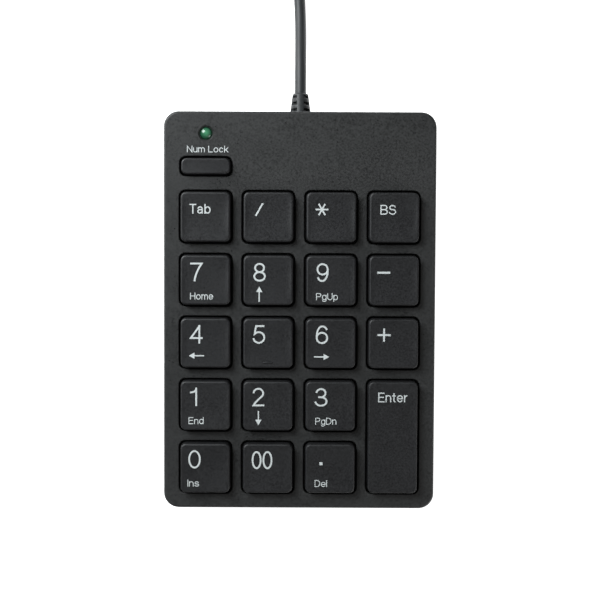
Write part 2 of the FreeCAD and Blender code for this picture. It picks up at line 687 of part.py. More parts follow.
def cord_tube(name, points):
    """A round tube along straight runs joined by tangent arcs, each as large as its two runs allow."""
    share = 0.45
    path, radii = [], []
    start = points[0]
    for before, corner, after in zip(points, points[1:], points[2:]):
        into, out = (corner - before), (after - corner)
        shorter = min(into.Length, out.Length)
        turn = into.getAngle(out)
        radius = share * shorter / math.tan(turn / 2)
        radii.append(round(radius, 1))
        into.normalize()
        out.normalize()
        setback = share * shorter
        arc_start, arc_end = corner - into * setback, corner + out * setback
        inward = (out - into).normalize()
        centre = corner + inward * (radius / math.cos(turn / 2))
        knee = centre - inward * radius
        path.append(Part.LineSegment(start, arc_start).toShape())
        path.append(Part.Arc(arc_start, knee, arc_end).toShape())
        start = arc_end
    path.append(Part.LineSegment(start, points[-1]).toShape())
    heading = (points[1] - points[0]).normalize()
    section = Part.Wire(Part.Circle(points[0], heading, CORD_RADIUS).toShape())
    spine = Part.Wire(path)
    tube = spine.makePipeShell([section], True, False)
    wanted = math.pi * CORD_RADIUS**2 * spine.Length
    whole = round(tube.Volume / wanted, 4)
    print(name, "radii", radii, "length", round(spine.Length, 1), "volume share", whole)
    return tube


# From the strain relief down to the table, and on to where the first turn of the coil starts.
LEAD_ROUTE = [
    (0.0, 67.5, 7.0),
    (0.0, 75.8, 7.0),
    (0.0, 90.6, 1.75),
    (-0.8, 104.0, 1.75),
    (0.3, 118.0, 1.75),
    (0.0, 131.0, 2.35),
]
# From the last turn, over the lead, and down to the plug.
TAIL_ROUTE = [
    (21.7, 109.3, 12.85),
    (12.0, 109.2, 12.6),
    (-2.0, 109.7, 9.9),
    (-11.5, 109.6, 4.8),
    (-18.0, 109.6, 3.9),
]


def usb_cord():
    """The lead's two stretches that aren't coiled."""
    lead = cord_tube("lead", [Vector(*point) for point in LEAD_ROUTE])
    tail = cord_tube("tail", [Vector(*point) for point in TAIL_ROUTE])
    return Part.makeCompound([lead, tail])


def ring(inner, outer, low, high):
    return cylinder(outer, low, high, COIL_AT).cut(cylinder(inner, low - 1, high + 1, COIL_AT))


def cord_coil():
    """The outer shape of the coiled part of the lead. It rests on its tie."""
    inner, outer = COIL_TURN_RADIUS - COIL_HALF_WIDTH, COIL_TURN_RADIUS + COIL_HALF_WIDTH
    return ring(inner, outer, TIE_THICK, TIE_THICK + COIL_HEIGHT)


def coil_tie():
    """A flat strap round the coil, on its right."""
    inner, outer = COIL_TURN_RADIUS - COIL_HALF_WIDTH, COIL_TURN_RADIUS + COIL_HALF_WIDTH
    around = ring(inner - TIE_THICK, outer + TIE_THICK, 0, COIL_HEIGHT + 2 * TIE_THICK).cut(cord_coil())
    x, y = COIL_AT
    return around.common(block((x, y - TIE_WIDTH / 2, 0), (x + BIG, y + TIE_WIDTH / 2, BIG)))


def plug_at():
    """Where the lead enters the plug, and x of the grip's two ends."""
    x, y, z = TAIL_ROUTE[-1]
    return y, z, x - PLUG_NECK[2], x - PLUG_NECK[2] - PLUG_GRIP[2]


def lengthways_fillet(shape, radius):
    """The shape with its edges along X rounded."""
    along = [edge for edge in shape.Edges if abs(edge.tangentAt(edge.FirstParameter).x) > 0.9]
    return shape.makeFillet(radius, along)


def plug_body():
    """The plug's moulded grip with its neck, and the plastic tongue inside its shell."""
    across, high, long = PLUG_GRIP
    y, z, rear, face = plug_at()
    grip = block((face, y - across / 2, z - high / 2), (rear, y + across / 2, z + high / 2))
    grip = lengthways_fillet(grip, 2.0)
    thin, thick, length = PLUG_NECK
    neck = Part.makeCone(thick, thin, length, Vector(rear, y, z), Vector(1, 0, 0))
    shell_across, shell_high, shell_long = PLUG_SHELL
    tongue_half = shell_across / 2 - PLUG_SHEET - 0.1
    tongue_end = face - shell_long + 0.8
    tongue_top = z + shell_high / 2 - PLUG_SHEET - 0.1
    tongue = block((tongue_end, y - tongue_half, z), (face, y + tongue_half, tongue_top))
    return Part.makeCompound([grip.fuse(neck).removeSplitter(), tongue])


def plug_shell():
    """The plug's folded steel shell, open at its end, with its two square holes top and bottom."""
    across, high, long = PLUG_SHELL
    y, z, _, face = plug_at()
    outer = block((face - long, y - across / 2, z - high / 2), (face, y + across / 2, z + high / 2))
    outer = lengthways_fillet(outer, 0.5)
    half_across, half_high = across / 2 - PLUG_SHEET, high / 2 - PLUG_SHEET
    inside_corner = (face + 1, y + half_across, z + half_high)
    inside = block((face - long - 1, y - half_across, z - half_high), inside_corner)
    shell = outer.cut(inside)
    hole_side, hole_from_face, hole_apart = 2.2, 5.4, 5.8
    for side in (-1, 1):
        at = y + side * hole_apart / 2
        low = (face - hole_from_face - hole_side, at - hole_side / 2, z - high)
        shell = shell.cut(block(low, (face - hole_from_face, at + hole_side / 2, z + high)))
    return shell


# ---- every node ----
def nodes():
    made = {}
    for name, at, size in key_places():
        made["keycap_" + name] = on_deck(moved_to(keycap(name, size), at))
        made["dome_" + name] = on_deck(moved_to(key_dome(name), at))
    made["top_cover"] = top_cover()
    made["bottom_cover"] = bottom_cover()
    made["key_guide_frame"] = on_deck(guide_frame())
    made["upper_circuit_film"] = on_deck(circuit_film(0, 9.0))
    made["spacer_film"] = on_deck(circuit_film(1, None))
    made["lower_circuit_film"] = on_deck(circuit_film(2, -9.0))
    made["support_plate"] = on_deck(layer(PLATE_TOP, PLATE_THICK))
    made["enter_stabiliser_wire"] = on_deck(stabiliser_wire())
    made["controller_board"] = on_deck(controller_board())
    made["board_components"] = on_deck(board_components())
    made["film_clamp_bar"] = on_deck(film_clamp())
    made["num_lock_lamp"] = on_deck(lamp())
    made["screws"] = screws()
    made["rubber_feet"] = rubber_feet()
    made["strain_relief"] = strain_relief()
    made["usb_cord"] = usb_cord()
    made["cord_coil"] = cord_coil()
    made["coil_tie"] = coil_tie()
    made["plug_body"] = plug_body()
    made["plug_shell"] = plug_shell()
    return made


os.makedirs("parts", exist_ok=True)
for node, shape in nodes().items():
    for solid in shape.Solids:
        if not solid.isValid() or solid.Volume <= 0:
            print("BAD SOLID in", node, solid.isValid(), solid.Volume)
    shape.exportStep(os.path.join("parts", node + ".step"))
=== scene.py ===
import json
import math

import bmesh
import bpy
from mathutils import Matrix, Vector


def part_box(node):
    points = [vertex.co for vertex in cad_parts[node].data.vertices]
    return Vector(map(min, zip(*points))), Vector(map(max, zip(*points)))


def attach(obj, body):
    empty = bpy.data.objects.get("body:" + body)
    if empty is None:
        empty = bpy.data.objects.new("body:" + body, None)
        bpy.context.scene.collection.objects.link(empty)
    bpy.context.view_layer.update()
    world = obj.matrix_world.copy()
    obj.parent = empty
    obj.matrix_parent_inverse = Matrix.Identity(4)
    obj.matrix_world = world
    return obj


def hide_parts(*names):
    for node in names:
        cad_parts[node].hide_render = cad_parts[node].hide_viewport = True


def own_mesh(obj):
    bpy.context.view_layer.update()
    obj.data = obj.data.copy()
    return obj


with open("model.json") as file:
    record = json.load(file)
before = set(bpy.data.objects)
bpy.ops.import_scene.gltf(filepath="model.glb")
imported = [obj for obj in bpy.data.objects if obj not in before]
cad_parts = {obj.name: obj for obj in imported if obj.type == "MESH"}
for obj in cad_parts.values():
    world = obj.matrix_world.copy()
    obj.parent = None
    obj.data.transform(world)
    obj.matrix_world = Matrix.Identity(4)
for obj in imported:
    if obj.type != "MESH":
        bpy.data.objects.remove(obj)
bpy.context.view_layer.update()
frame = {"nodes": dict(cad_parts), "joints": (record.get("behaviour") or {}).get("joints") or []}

MM = 0.001

# ---- the frame's own places ----
# The deck leans towards the user. Deck coordinates run to the right, up the slope and out of the deck's face.
press_axis = Vector(frame["joints"][0]["axis"])
TILT = math.atan2(press_axis.y, -press_axis.z)


def corners(node, matrix):
    """Lowest and highest corner of a CAD node after a matrix, in metres."""
    points = [matrix @ vertex.co for vertex in frame["nodes"][node].data.vertices]
    low = Vector([min(point[axis] for point in points) for axis in range(3)])
    high = Vector([max(point[axis] for point in points) for axis in range(3)])
    return low, high


LEAN = Matrix.Rotation(TILT, 4, "X")
deck_top = corners("top_cover", LEAN.inverted())[1].z
DECK = Matrix.Translation((0, 0, deck_top / math.cos(TILT))) @ LEAN
PRESSES = {entry["name"]: entry for entry in frame["joints"] if entry["name"].startswith("press_")}
KEYS = [name.removeprefix("press_") for name in PRESSES]


def on_deck(node):
    """Lowest and highest corner of a CAD node in deck coordinates, in metres."""
    return corners(node, DECK.inverted())


# ---- camera and stage ----
CAMERA_HEIGHT = 0.430  # above the deck
CAMERA_SHIFT = (0.00015, 0.0034)  # to the right of the deck's middle, and behind it
CAMERA_ROLL = math.radians(0.26)
CAMERA_LENS = 84.6
# Each light's place, what it points at, its width and height, its power and its colour.
LIGHTS = {
    "rear_left_softbox": ((-0.26, 0.22, 0.32), (-0.01, 0.03, 0), (0.24, 0.24), 2.15, (0.93, 0.98, 1.0)),
    "front_fill": ((0.30, -0.50, 0.60), (0, 0, 0), (0.6, 0.6), 0.4, (1.0, 1.0, 0.95)),
    "front_right_rim": ((0.40, -0.30, 0.17), (0, 0, 0), (0.30, 0.12), 0.75, (1, 1, 1)),
    "rear_left_rim": ((-0.36, 0.34, 0.17), (0, 0, 0), (0.30, 0.12), 0.8, (1, 1, 1)),
}
WORLD_LIGHT = 0.12
FLOOR_HALF = 2.0


def new_object(name, data):
    made = bpy.data.objects.new(name, data)
    bpy.context.scene.collection.objects.link(made)
    return made


def make_camera():
    data = bpy.data.cameras.new("camera")
    data.lens = CAMERA_LENS
    data.sensor_width = 36.0
    data.clip_start = 0.01
    camera = new_object("camera", data)
    camera.location = (*CAMERA_SHIFT, DECK.translation.z + CAMERA_HEIGHT)
    camera.rotation_euler = (0, 0, CAMERA_ROLL)
    bpy.context.scene.camera = camera


def make_light(name, place, aim, size, power, colour):
    data = bpy.data.lights.new(name, "AREA")
    data.shape = "RECTANGLE"
    data.size, data.size_y = size
    data.energy = power
    data.color = colour
    light = new_object(name, data)
    light.location = place
    light.rotation_euler = (Vector(aim) - Vector(place)).to_track_quat("-Z", "Y").to_euler()


def make_stage():
    world = bpy.data.worlds.new("studio")
    world.use_nodes = True
    background = world.node_tree.nodes["Background"].inputs
    background["Color"].default_value = (1, 1, 1, 1)
    background["Strength"].default_value = WORLD_LIGHT
    bpy.context.scene.world = world
    bpy.context.scene.view_settings.view_transform = "Standard"
    for name, settings in LIGHTS.items():
        make_light(name, *settings)
    mesh = bpy.data.meshes.new("floor")
    edges = [(x * FLOOR_HALF, y * FLOOR_HALF, 0) for x, y in ((-1, -1), (1, -1), (1, 1), (-1, 1))]
    mesh.from_pydata(edges, [], [(0, 1, 2, 3)])
    paper, _, sockets = new_material("floor_paper")
    finish = {"Roughness": 0.9, "Specular IOR Level": 0.1, "Emission Strength": 1.0,
              "Emission Color": (1, 1, 1, 1), "Base Color": (0.93, 0.93, 0.93, 1)}
    for name, value in finish.items():
        sockets[name].default_value = value
    mesh.materials.append(paper)
    new_object("floor", mesh)


# ---- meshes ----
def tidy_mesh(mesh, smooth_under=40):
    """Welds doubles, turns the faces outwards, and shades smoothly across gentle edges."""
    work = bmesh.new()
    work.from_mesh(mesh)
    bmesh.ops.remove_doubles(work, verts=work.verts, dist=1e-7)
    bmesh.ops.recalc_face_normals(work, faces=work.faces)
    work.to_mesh(mesh)
    work.free()
    mesh.polygons.foreach_set("use_smooth", [True] * len(mesh.polygons))
    mesh.set_sharp_from_angle(angle=math.radians(smooth_under))
    mesh.update()


def solid_from(points, faces, smooth_under=30):
    mesh = bpy.data.meshes.new("solid")
    mesh.from_pydata([tuple(point) for point in points], [], faces)
    tidy_mesh(mesh, smooth_under)
    return mesh


def joined(name, meshes):
    """One mesh from several."""
    work = bmesh.new()
    for mesh in meshes:
        work.from_mesh(mesh)
    result = bpy.data.meshes.new(name)
    work.to_mesh(result)
    work.free()
    return result


def place_piece(name, mesh, material, body, replaces=()):
    """Makes the finished piece: its material, its body and the nodes that it stands for."""
    piece = new_object(name, mesh)
    mesh.materials.clear()
    mesh.materials.append(material)
    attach(piece, body)
    if replaces:
        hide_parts(*replaces)
    return piece


def revolved(profile, steps=48):
    """A closed solid of revolution about Z from a closed profile of (radius, height) points."""
    points, rows = [], []
    for radius, height in profile:
        row = []
        for step in range(1 if radius == 0 else steps):
            angle = 2 * math.pi * step / steps
            row.append(len(points))
            points.append((radius * math.cos(angle), radius * math.sin(angle), height))
        rows.append(row)
    faces = []
    for low, high in zip(rows, rows[1:] + rows[:1]):
        for step in range(steps):
            after = step + 1
            near = [low[step % len(low)], low[after % len(low)]]
            face = list(dict.fromkeys(near + [high[after % len(high)], high[step % len(high)]]))
            if len(face) > 2:
                faces.append(face)
    return solid_from(points, faces, 40)


def arc(middle, radii, start, end, steps=8):
    """Points along an elliptical arc, in degrees."""
    made = []
    for step in range(steps + 1):
        angle = math.radians(start + (end - start) * step / steps)
        made.append((middle[0] + radii[0] * math.cos(angle), middle[1] + radii[1] * math.sin(angle)))
    return made


# ---- Geometry Nodes ----
def add_node(tree, kind, values=None, **settings):
    """A node, with its settings, and its inputs given as numbers or as the sockets that feed them."""
    node = tree.nodes.new(kind)
    for name, value in settings.items():
        setattr(node, name, value)
    for name, value in (values or {}).items():
        if isinstance(value, bpy.types.NodeSocket):
            tree.links.new(value, node.inputs[name])
        else:
            node.inputs[name].default_value = value
    return node


class Tree:
    """A Geometry Nodes tree with named number inputs. It ends in Realize Instances and Set Material."""

    def __init__(self, name, numbers):
        self.group = bpy.data.node_groups.new(name, "GeometryNodeTree")
        sockets = self.group.interface
        sockets.new_socket("Geometry", in_out="INPUT", socket_type="NodeSocketGeometry")
        for label in numbers:
            kind = "NodeSocketInt" if isinstance(numbers[label], int) else "NodeSocketFloat"
            sockets.new_socket(label, in_out="INPUT", socket_type=kind).default_value = numbers[label]
        sockets.new_socket("Material", in_out="INPUT", socket_type="NodeSocketMaterial")
        sockets.new_socket("Geometry", in_out="OUTPUT", socket_type="NodeSocketGeometry")
        self.inputs = self.add("NodeGroupInput")

    def add(self, kind, values=None, **settings):
        return add_node(self.group, kind, values, **settings)

    def make(self, kind, values=None, **settings):
        """The first output of a new geometry node."""
        return self.add("GeometryNode" + kind, values, **settings).outputs[0]

    def number(self, name):
        return self.inputs.outputs[name]

    def maths(self, operation, a, b=0.0):
        return self.add("ShaderNodeMath", {0: a, 1: b}, operation=operation).outputs[0]

    def times(self, a, b):
        return self.maths("MULTIPLY", a, b)

    def vector(self, x=0.0, y=0.0, z=0.0):
        return self.add("ShaderNodeCombineXYZ", {"X": x, "Y": y, "Z": z}).outputs[0]

    def split(self, vector):
        """The three parts of a vector, as sockets."""
        return self.add("ShaderNodeSeparateXYZ", {0: vector}).outputs

    def resized(self, vector, factor):
        return self.add("ShaderNodeVectorMath", {0: vector, "Scale": factor}, operation="SCALE").outputs[0]

    def sample(self, geometry, value, index):
        """A field's value at one point of another geometry."""
        values = {"Geometry": geometry, "Value": value, "Index": index}
        return self.make("SampleIndex", values, data_type="FLOAT_VECTOR")

    def rounded_box(self, width, height, radius, count):
        """A rectangle of curve with its corners rounded."""
        size = {"Width": width, "Height": height}
        box = self.make("CurvePrimitiveQuadrilateral", size)
        values = {"Curve": box, "Count": count, "Radius": radius}
        return self.make("FilletCurve", values, mode="POLY")

    def stations(self, step):
        """A row of points, one for each rib."""
        return self.make("MeshLine", {"Count": self.number("Ribs"), "Offset": step})

    def share_of(self, value, whole, edge):
        """How far a coordinate is from the middle, from 0 there to 1 at the inner edge of a border."""
        span = self.maths("SUBTRACT", whole, self.times(edge, 2.0))
        out = self.maths("ABSOLUTE", self.maths("DIVIDE", self.times(value, 2.0), span))
        return self.maths("MINIMUM", out, 1.0)

    def end(self, geometry):
        real = self.make("RealizeInstances", {"Geometry": geometry})
        values = {"Geometry": real, "Material": self.number("Material")}
        self.add("NodeGroupOutput", {0: self.make("SetMaterial", values)})

    def grow(self, source, values, material):
        """The plain mesh that the tree makes from a source object's data, which is used up."""
        holder = new_object("holder", source)
        modifier = holder.modifiers.new(self.group.name, "NODES")
        modifier.node_group = self.group
        sizes = dict(values, Material=material)
        for item in self.group.interface.items_tree:
            if item.in_out == "INPUT" and item.name in sizes:
                modifier[item.identifier] = sizes[item.name]
        bpy.context.view_layer.update()
        seen = holder.evaluated_get(bpy.context.evaluated_depsgraph_get())
        mesh = bpy.data.meshes.new_from_object(seen)
        bpy.data.objects.remove(holder)
        return mesh


def polyline(name, points):
    """A curve of straight runs through points."""
    curve = bpy.data.curves.new(name, "CURVE")
    curve.dimensions = "3D"
    spline = curve.splines.new("POLY")
    spline.points.add(len(points) - 1)
    for place, point in zip(spline.points, points):
        place.co = (*point, 1.0)
    return curve


# ---- materials ----
def new_material(name):
    """A material, its tree and the inputs of its shader."""
    material = bpy.data.materials.new(name)
    material.use_nodes = True
    return material, material.node_tree, material.node_tree.nodes["Principled BSDF"].inputs


CLOUD_SCALE, CLOUD_SHARE = 90.0, 0.25  # of the slow drift: how fine it is, and its share next to the pebbles
GRAIN_DEPTH = 0.02 * MM


def grain_group():
    """Moulded texture: a fine pebbled height, uneven gloss and slow colour drift."""
    group = bpy.data.node_groups.new("moulded_grain", "ShaderNodeTree")
    sockets = group.interface
    for label, value in (("Grain Size", 0.3 * MM), ("Roughness", 0.5), ("Drift", 0.15)):
        sockets.new_socket(label, in_out="INPUT", socket_type="NodeSocketFloat").default_value = value
    sockets.new_socket("Color", in_out="INPUT", socket_type="NodeSocketColor")
    sockets.new_socket("Color", in_out="OUTPUT", socket_type="NodeSocketColor")
    for label in ("Roughness", "Height"):
        sockets.new_socket(label, in_out="OUTPUT", socket_type="NodeSocketFloat")
    given = group.nodes.new("NodeGroupInput").outputs

    def maths(operation, *values):
        return add_node(group, "ShaderNodeMath", dict(enumerate(values)), operation=operation).outputs[0]

    place = group.nodes.new("ShaderNodeTexCoord").outputs["Object"]
    fineness = maths("DIVIDE", 1.0, given["Grain Size"])
    fine = {"Vector": place, "Scale": fineness, "Detail": 3.0, "Roughness": 0.65}
    pebbles = add_node(group, "ShaderNodeTexNoise", fine).outputs["Fac"]
    slow = {"Vector": place, "Scale": CLOUD_SCALE, "Detail": 4.0}
    clouds = add_node(group, "ShaderNodeTexNoise", slow).outputs["Fac"]
    both = maths("MULTIPLY_ADD", clouds, CLOUD_SHARE, pebbles)
    swing = maths("MULTIPLY_ADD", maths("SUBTRACT", both, 0.5 + 0.5 * CLOUD_SHARE), given["Drift"], 1.0)
    tinted = {0: given["Color"], "Scale": swing}
    colour = add_node(group, "ShaderNodeVectorMath", tinted, operation="SCALE").outputs[0]
    rough = maths("MULTIPLY", given["Roughness"], swing)
    add_node(group, "NodeGroupOutput", {"Color": colour, "Roughness": rough, "Height": pebbles})
    return group


GRAIN = grain_group()


def grained(name, colour, roughness, grain=0.3, bump=0.25, drift=0.15, metallic=0.0, coat=0.0):
    """A material with the moulded grain at its own size in millimetres, colour and gloss."""
    material, tree, sockets = new_material(name)
    values = {"Color": (*colour, 1), "Grain Size": grain * MM, "Roughness": roughness, "Drift": drift}
    made = add_node(tree, "ShaderNodeGroup", values, node_tree=GRAIN).outputs
    height = {"Strength": bump, "Distance": GRAIN_DEPTH, "Height": made["Height"]}
    tree.links.new(made["Color"], sockets["Base Color"])
    tree.links.new(made["Roughness"], sockets["Roughness"])
    tree.links.new(add_node(tree, "ShaderNodeBump", height).outputs["Normal"], sockets["Normal"])
    sockets["Metallic"].default_value = metallic
    sockets["Coat Weight"].default_value = coat
    return material


CASE_PLASTIC = grained("case_plastic", (0.026, 0.0265, 0.0265), 0.5, grain=0.6, drift=2.0)
KEY_PLASTIC = grained("key_plastic", (0.0135, 0.0137, 0.0150), 0.48, grain=0.55, drift=1.6)
INNER_PLASTIC = grained("inner_plastic", (0.012, 0.012, 0.012), 0.5, grain=1.0, bump=0.1)
LEGEND_INK = grained("legend_ink", (0.68, 0.72, 0.72), 0.5, grain=0.2, bump=0.1, drift=0.06)
DOME_SILICONE = grained("dome_silicone", (0.52, 0.52, 0.50), 0.4, grain=0.6, bump=0.1, drift=0.08)
FILM_SHEET = grained("film_sheet", (0.62, 0.68, 0.66), 0.25, grain=2, bump=0.03, drift=0.05, coat=0.3)
PLATE_STEEL = grained("plate_steel", (0.55, 0.56, 0.58), 0.35, grain=1.5, bump=0.1, metallic=1.0)
SCREW_STEEL = grained("screw_steel", (0.50, 0.51, 0.52), 0.3, grain=0.4, bump=0.1, metallic=1.0)
WIRE_STEEL = grained("wire_steel", (0.60, 0.60, 0.62), 0.22, grain=0.3, bump=0.08, metallic=1.0)
PLUG_NICKEL = grained("plug_nickel", (0.42, 0.42, 0.44), 0.32, grain=0.5, bump=0.06, metallic=1.0,
                      drift=0.08)
CONTACT_GOLD = grained("contact_gold", (0.83, 0.60, 0.22), 0.25, grain=0.3, bump=0.05, metallic=1.0)
BOARD_GREEN = grained("board_green", (0.02, 0.13, 0.05), 0.3, grain=0.8, bump=0.15, coat=0.4)
CHIP_PLASTIC = grained("chip_plastic", (0.018, 0.018, 0.018), 0.55, grain=0.2)
FOOT_RUBBER = grained("foot_rubber", (0.02, 0.02, 0.02), 0.75, grain=0.35, bump=0.4)
CORD_VINYL = grained("cord_vinyl", (0.030, 0.032, 0.034), 0.48, grain=0.5, bump=0.12, drift=0.1)
TIE_STRAP = grained("tie_strap", (0.02, 0.02, 0.02), 0.6, grain=0.25, bump=0.5)
PLUG_VINYL = grained("plug_vinyl", (0.024, 0.024, 0.025), 0.42, grain=0.3)
TONGUE_WHITE = grained("tongue_white", (0.75, 0.75, 0.73), 0.4, grain=0.4, bump=0.1, drift=0.05)


LAMP_TINT = (0.07, 0.27, 0.14)
LAMP_FADE, LAMP_RIM = 1.5 * MM, 0.06  # the glow's radius, and what is left of it there


def lamp_material():
    """Green tinted plastic, lit from inside: brightest at the middle of the nose."""
    material = grained("lamp_green", (0.01, 0.06, 0.03), 0.18, grain=0.6, bump=0.04, drift=0.05, coat=0.6)
    tree = material.node_tree
    sockets = tree.nodes["Principled BSDF"].inputs
    low, high = corners("num_lock_lamp", Matrix())
    middle = (low + high) / 2
    place = tree.nodes.new("ShaderNodeTexCoord").outputs["Object"]
    level = {"Vector": place, "Location": (-middle.x, -middle.y, 0), "Scale": (1, 1, 0)}
    centred = add_node(tree, "ShaderNodeMapping", level).outputs[0]
    away = add_node(tree, "ShaderNodeVectorMath", {0: centred}, operation="LENGTH").outputs["Value"]
    fade = {"Value": away, "From Min": 0.0, "From Max": LAMP_FADE, "To Min": 1.0, "To Max": LAMP_RIM}
    glow = add_node(tree, "ShaderNodeMapRange", fade).outputs["Result"]
    tint = add_node(tree, "ShaderNodeVectorMath", {0: LAMP_TINT, "Scale": glow}, operation="SCALE").outputs[0]
    tree.links.new(tint, sockets["Emission Color"])
    sockets["Emission Strength"].default_value = 1.0
    return material


LAMP_GREEN = lamp_material()


# ---- the lead ----
CORD_DIAMETER = 3.5 * MM
COIL_COLUMNS, COIL_LAYERS, COIL_POINTS = 3, 4, 16
# From the strain relief down to the table, and on to where the first turn of the coil starts.
LEAD_ROUTE = [
    (0.0, 0.0675, 0.0070),
    (0.0, 0.0758, 0.0070),
    (0.0, 0.0906, 0.00175),
    (-0.0008, 0.1040, 0.00175),
    (0.0003, 0.1180, 0.00175),
    (0.0, 0.1310, 0.00235),
]
# From the last turn, over the lead, and down to the plug.
TAIL_ROUTE = [
    (0.0217, 0.1093, 0.01285),
    (0.0120, 0.1092, 0.0126),
    (-0.0020, 0.1097, 0.0099),
    (-0.0115, 0.1096, 0.0048),
    (-0.0180, 0.1096, 0.0039),
]


def coil_turns():
    """The coil's points: in, up, out and up again, column by column and layer by layer."""
    low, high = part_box("cord_coil")
    middle = (low + high) / 2
    turn_radius = (high.x - low.x) / 2 - COIL_COLUMNS * CORD_DIAMETER / 2
    spread = 1 / math.cos(math.pi / COIL_POINTS / 1.4)
    turns = COIL_COLUMNS * COIL_LAYERS - 0.25
    points = []
    for step in range(1, int(turns * COIL_POINTS)):
        turn = step / COIL_POINTS
        whole = int(turn)
        move = max(0.0, (turn - whole - 0.7) / 0.3)
        ease = move * move * (3 - 2 * move)
        seats = []
        for index in (whole, whole + 1):
            layer, column = divmod(min(index, COIL_COLUMNS * COIL_LAYERS - 1), COIL_COLUMNS)
            inward = column if layer % 2 == 0 else COIL_COLUMNS - 1 - column
            seats.append((inward, layer))
        inward = seats[0][0] + (seats[1][0] - seats[0][0]) * ease
        layer = seats[0][1] + (seats[1][1] - seats[0][1]) * ease
        radius = (turn_radius + ((COIL_COLUMNS - 1) / 2 - inward) * CORD_DIAMETER) * spread
        angle = math.pi - 2 * math.pi * turn
        height = low.z + CORD_DIAMETER / 2 + layer * CORD_DIAMETER
        points.append((middle.x + radius * math.cos(angle), middle.y + radius * math.sin(angle), height))
    return points


def make_cord():
    route = LEAD_ROUTE + coil_turns() + TAIL_ROUTE
    curve = bpy.data.curves.new("usb_lead", "CURVE")
    curve.dimensions = "3D"
    curve.bevel_depth = CORD_DIAMETER / 2
    curve.bevel_resolution = 5
    curve.resolution_u = 4
    curve.use_fill_caps = True
    spline = curve.splines.new("NURBS")
    spline.points.add(len(route) - 1)
    for place, point in zip(spline.points, route):
        place.co = (*point, 1.0)
    spline.order_u = 3
    spline.use_endpoint_u = True
    curve.materials.append(CORD_VINYL)
    lead = new_object("usb_lead", curve)
    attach(lead, "housing")
    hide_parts("usb_cord", "cord_coil")


# ---- outlines and sections, in millimetres ----
def scaled(points, unit=MM):
    return [tuple(value * unit for value in point) for point in points]


def bend(start, pull, end, steps=8):
    """Points along a curve from start to end that is pulled towards a third point."""
    made = []
    for step in range(steps + 1):
        t = step / steps
        near, middle, far = (1 - t) ** 2, 2 * t * (1 - t), t * t
        made.append(tuple(near * a + middle * b + far * c for a, b, c in zip(start, pull, end)))
    return made


def slab(low, high, rounding=0.0):
    """A box between two corners, in metres, with its edges rounded over."""
    work = bmesh.new()
    bmesh.ops.create_cube(work, size=1.0)
    size = Vector(high) - Vector(low)
    middle = (Vector(high) + Vector(low)) / 2
    for vertex in work.verts:
        vertex.co = Vector([vertex.co[axis] * size[axis] for axis in range(3)]) + middle
    if rounding:
        bmesh.ops.bevel(work, geom=work.edges[:], offset=rounding, segments=3, affect="EDGES", profile=0.5)
    mesh = bpy.data.meshes.new("slab")
    work.to_mesh(mesh)
    work.free()
    tidy_mesh(mesh)
    return mesh


def block(low, high, rounding):
    """A box between two corners with its edges rounded over, all in millimetres."""
    return slab(*scaled([low, high]), rounding * MM)


def placed(mesh, matrix):
    mesh.transform(matrix)
    mesh.update()
    return mesh


def onto_deck(mesh, middle, height=0.0):
    """Moves a mesh that was made about the origin to its place on the deck."""
    return placed(mesh, DECK @ Matrix.Translation((middle.x, middle.y, height)))


def key_place(key):
    """The key's middle, its size at the skirt's rim and its height, in deck coordinates."""
    low, high = on_deck("keycap_" + key)
    return (low + high) / 2, high - low, high.z


# ---- keycaps ----
CAP_DRAFT = 0.3 * MM
CAP_CORNER = 1.5 * MM
CAP_SIDES = 112  # points round the outline
CAP_SKIRT = -1.4  # mm, below the deck's face
CAP_ROOF = 1.1  # down from the top to the hollow's ceiling
FITTING_SUNK = 0.1  # how far the stem and the arms go into that ceiling
EDGE_RADIUS = 0.22
EDGE_SLOPE = math.radians(18)  # of the narrow facet inside the cap's edge
STEM_FOOT, LATCH_FOOT = -4.9, -5.2
LATCH_MIDDLE, LATCH_THICK, LATCH_NIB = 5.4, 1.0, 0.5
NIB_TOP = -4.65
LUG_HALF_SPAN = 12.55
WIRE_RADIUS = 0.5


def cap_section(rise, bevel, wall):
    """A cap's section, from its top's middle round the rim to its roof's middle: offset, height, share."""
    crown = [(-bevel, rise, share) for share in (0, 0.2, 0.4, 0.58, 0.72, 0.83, 0.9, 0.95, 0.985, 1)]
    run = bevel - EDGE_RADIUS + EDGE_RADIUS * math.sin(EDGE_SLOPE)
    fall = run * math.tan(EDGE_SLOPE)
    facet = [(-bevel + run * share, rise - fall * share, 1) for share in (0.2, 0.6)]
    shoulder = rise - fall - EDGE_RADIUS * math.cos(EDGE_SLOPE)
    start = 90 - math.degrees(EDGE_SLOPE)
    round_over = arc((-EDGE_RADIUS, shoulder), (EDGE_RADIUS, EDGE_RADIUS), start, 0, 5)
    edge = [(x, y, 1) for x, y in round_over]
    skirt = [(0.3, CAP_SKIRT + 0.12, 1), (0.26, CAP_SKIRT + 0.03, 1), (0.18, CAP_SKIRT, 1)]
    roof = rise - CAP_ROOF
    inside = [(0.36 - wall, CAP_SKIRT, 1), (0.3 - wall, CAP_SKIRT + 0.06, 1), (0.05 - wall, roof - 0.15, 1)]
    inside += [(-0.1 - wall, roof, 1), (-0.1 - wall, roof, 0.5), (-0.1 - wall, roof, 0)]
    return crown + facet + edge + skirt + inside


